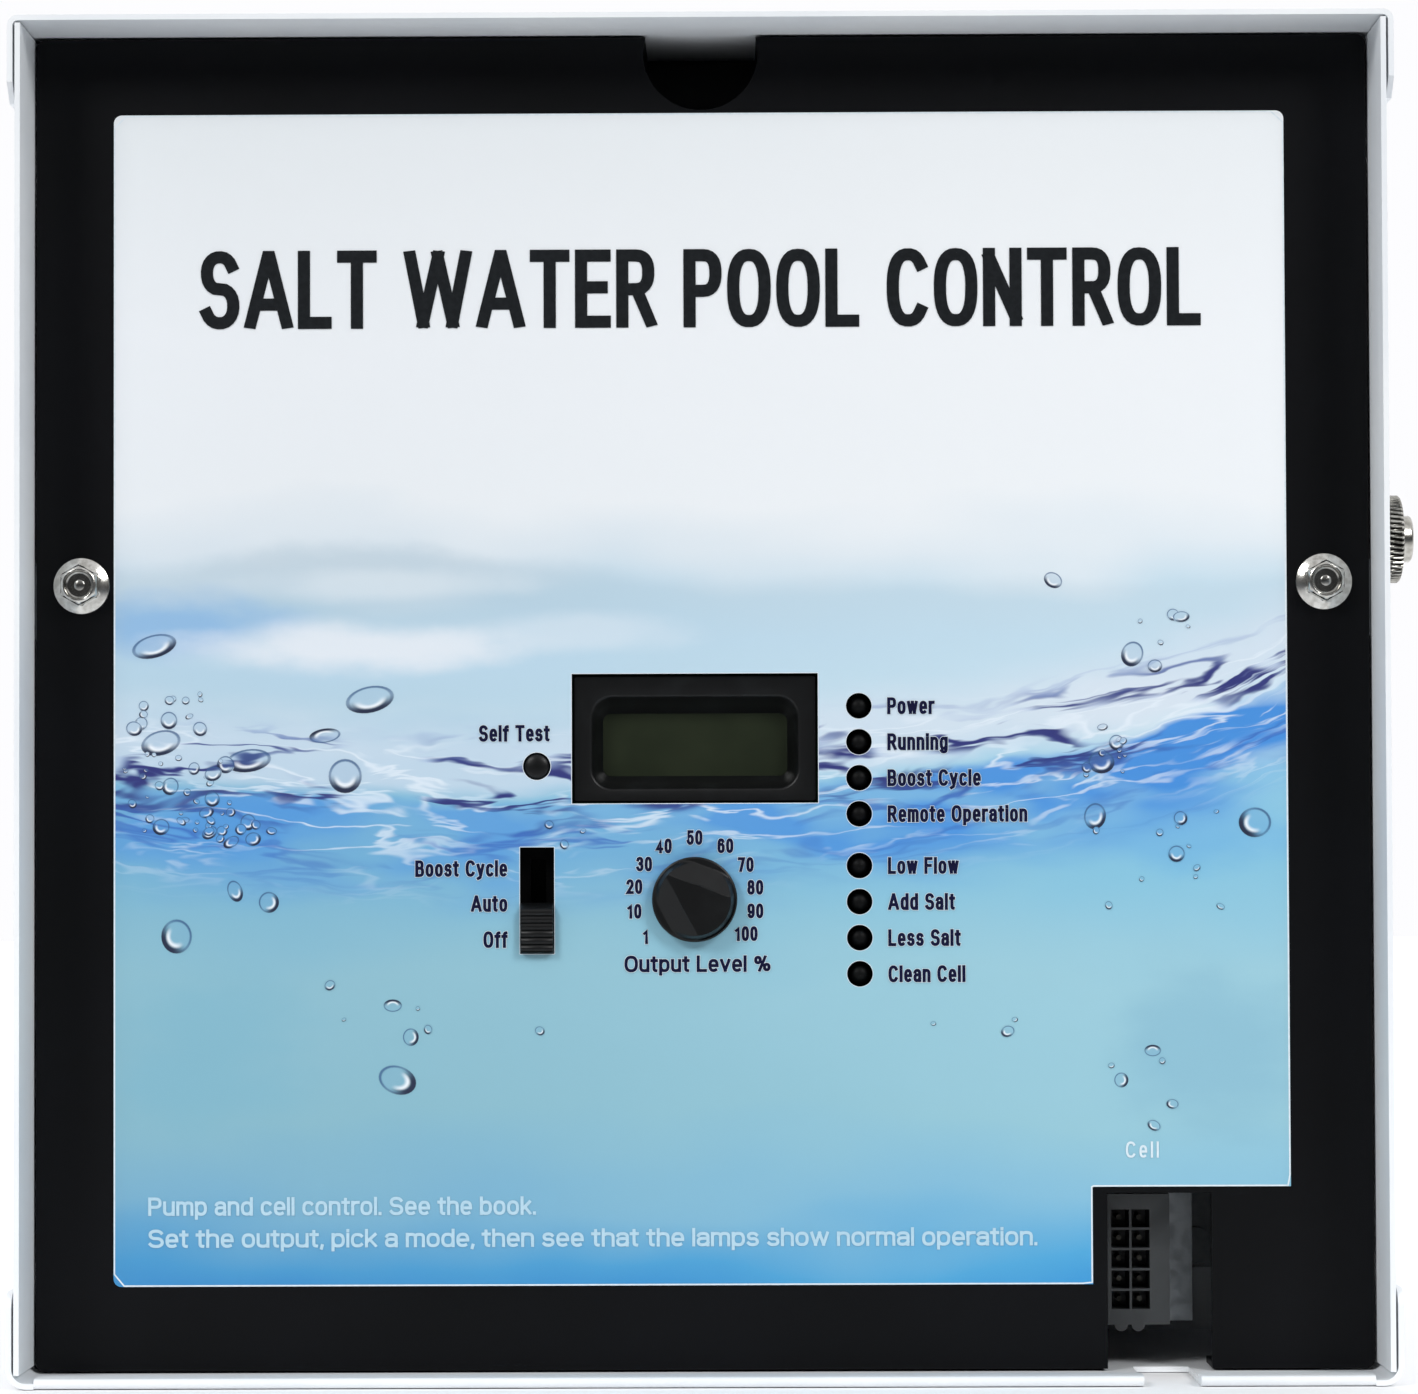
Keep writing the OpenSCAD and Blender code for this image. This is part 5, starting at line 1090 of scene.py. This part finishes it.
def print_all_words():
    """Every line of lettering, all of it generic."""
    print_words("heading", "SALT WATER POOL CONTROL", -0.3, 83.2, 17.5, HEADING_INK, 5.0, width_mm=223.0,
                align="middle", pen=0.155, spacing=0.07)
    lamp_words = ("Power", "Running", "Boost Cycle", "Remote Operation",
                  "Low Flow", "Add Salt", "Less Salt", "Clean Cell")
    for words, z in zip(lamp_words, LAMP_HEIGHTS):
        print_marking("lamp_words_" + words.replace(" ", "_"), words, 41.0, z / MM - 1.9, 3.75)
    print_marking("button_words", "Self Test", -34.0, -9.0, 3.7, align="right")
    for words, z in (("Boost Cycle", -39.0), ("Auto", -46.8), ("Off", -54.8)):
        print_marking("mode_words_" + words.replace(" ", "_"), words, -43.5, z, 3.7, align="right")
    print_marking("dial_words", "Output Level %", -1.3, -60.3, 3.7, align="middle", width_mm=32.5)
    print_dial()
    print_words("socket_words", "Cell", 93.4, -101.7, 3.6, SOCKET_INK, 5.0, squeeze=0.9, pen=0.14,
                spacing=0.22)
    print_words("info_line_1", "Pump and cell control. See the book.", -123.3, -113.9, 4.1, WHITE_INK, 5.0,
                width_mm=86, pen=0.17)
    print_words("info_line_2", "Set the output, pick a mode, then see that the lamps show normal operation.",
                -123.3, -121.0, 4.1, WHITE_INK, 5.0, width_mm=197, pen=0.17)


# ---------------------------------------------------------------- putting it together

EDGE_RADII = {"enclosure_body": 0.4, "top_cap": 0.4, "bottom_cap": 0.45, "inner_panel": 0.25,
              "finger_pocket": 0.2, "rivets": 0.15, "conduit_knockouts": 0.15, "cell_socket": 0.18,
              "thumb_washer": 0.15}      # in mm
for node_name, width in EDGE_RADII.items():
    softened(node_name, width)

make_panel_screws()
make_thumb_nut()
make_output_knob()
make_mode_slider()
make_diagnostic_button()
make_lamps()
make_display_frame()
print_rings()
print_border()
print_bubbles()
print_all_words()


# ---------------------------------------------------------------- floor, light and camera

def make_floor():
    """Pale matt floor under the box, large enough to reach the horizon, and greyer towards the front."""
    mat, tree, shader = new_material("pale_floor", Roughness=0.9)
    shader.inputs["Specular IOR Level"].default_value = 0.0
    at = millimetres(tree)
    cloud = noise(tree, at, 1 / 900, 2.0)
    pale = blend(tree, cloud, srgb("#f8f9fa"), srgb("#fcfcfd"))
    depth = add(tree, "SeparateXYZ", {0: at}).outputs[1]
    tree.links.new(blend(tree, between(tree, depth, -900.0, -60.0), srgb("#4c4f53"), pale),
                   shader.inputs["Base Color"])
    tree.links.new(blend(tree, between(tree, depth, 0.0, 400.0), (0, 0, 0, 1), (1, 1, 1, 1)),
                   shader.inputs["Emission Color"])
    shader.inputs["Emission Strength"].default_value = 0.35
    half, height = 9.0, CAD_BOX[0][2] - 0.2 * MM         # half the floor's side, and its level
    mesh = bpy.data.meshes.new("floor")
    corners = [(-half, -half, height), (half, -half, height), (half, half, height), (-half, half, height)]
    mesh.from_pydata(corners, [], [(0, 1, 2, 3)])
    floor = bpy.data.objects.new("floor", mesh)
    mesh.materials.append(mat)
    bpy.context.scene.collection.objects.link(floor)


def make_light():
    """White room behind and above the box that darkens towards the viewer's side, so that black
    parts stay black, with two large soft lamps at the upper left and right of the front."""
    world = bpy.data.worlds.new("white_room")
    bpy.context.scene.world = world
    world.use_nodes = True
    tree = world.node_tree
    way = add(tree, "SeparateXYZ", {0: add(tree, "TexCoord").outputs["Generated"]})
    shade = between(tree, way.outputs[1], -0.5, 0.2)
    above = between(tree, way.outputs[2], 0.1, 0.9)
    level = maths(tree, "MAXIMUM", maths(tree, "MULTIPLY_ADD", shade, 0.94, 0.06),
                  times(tree, above, 0.78))
    back = tree.nodes["Background"]
    tree.links.new(blend(tree, level, (0, 0, 0, 1), srgb("#fdfdff")), back.inputs["Color"])
    back.inputs["Strength"].default_value = 1.0
    for name, place, size, watts in (("upper_left_lamp", (-1.2, -1.6, 1.1), 0.8, LAMP_WATTS),
                                     ("upper_right_lamp", (1.2, -1.6, 1.1), 0.8, LAMP_WATTS)):
        data = bpy.data.lights.new(name, "AREA")
        data.shape = "DISK"
        data.size = size
        data.energy = watts
        lamp = bpy.data.objects.new(name, data)
        lamp.location = place
        lamp.rotation_euler = (Vector((0, -0.1, 0)) - Vector(place)).to_track_quat("-Z", "Y").to_euler()
        bpy.context.scene.collection.objects.link(lamp)


def make_camera():
    """Camera a metre in front of the box, 42 mm below its middle, looking slightly up."""
    front = CAD_BOX[0][1]
    eye = Vector((7.4 * MM, front - 1.0, -42.1 * MM))
    shift_up = 0.04
    scale = 308.7 * MM                                   # width of the view at the front plane
    aim = Vector((1.5 * MM, front, -0.1 * MM - shift_up * scale))
    data = bpy.data.cameras.new("camera")
    data.sensor_width = 36.0
    data.lens = 36.0 * (aim - eye).length / scale
    data.shift_y = shift_up
    data.clip_start = 0.01
    camera = bpy.data.objects.new("camera", data)
    turn = (aim - eye).to_track_quat("-Z", "Y").to_matrix().to_4x4()
    roll = Matrix.Rotation(math.radians(-0.2), 4, "Z")
    camera.matrix_world = Matrix.Translation(eye) @ turn @ roll
    bpy.context.scene.collection.objects.link(camera)
    bpy.context.scene.camera = camera


make_floor()
make_light()
make_camera()
bpy.context.scene.view_settings.view_transform = "Standard"
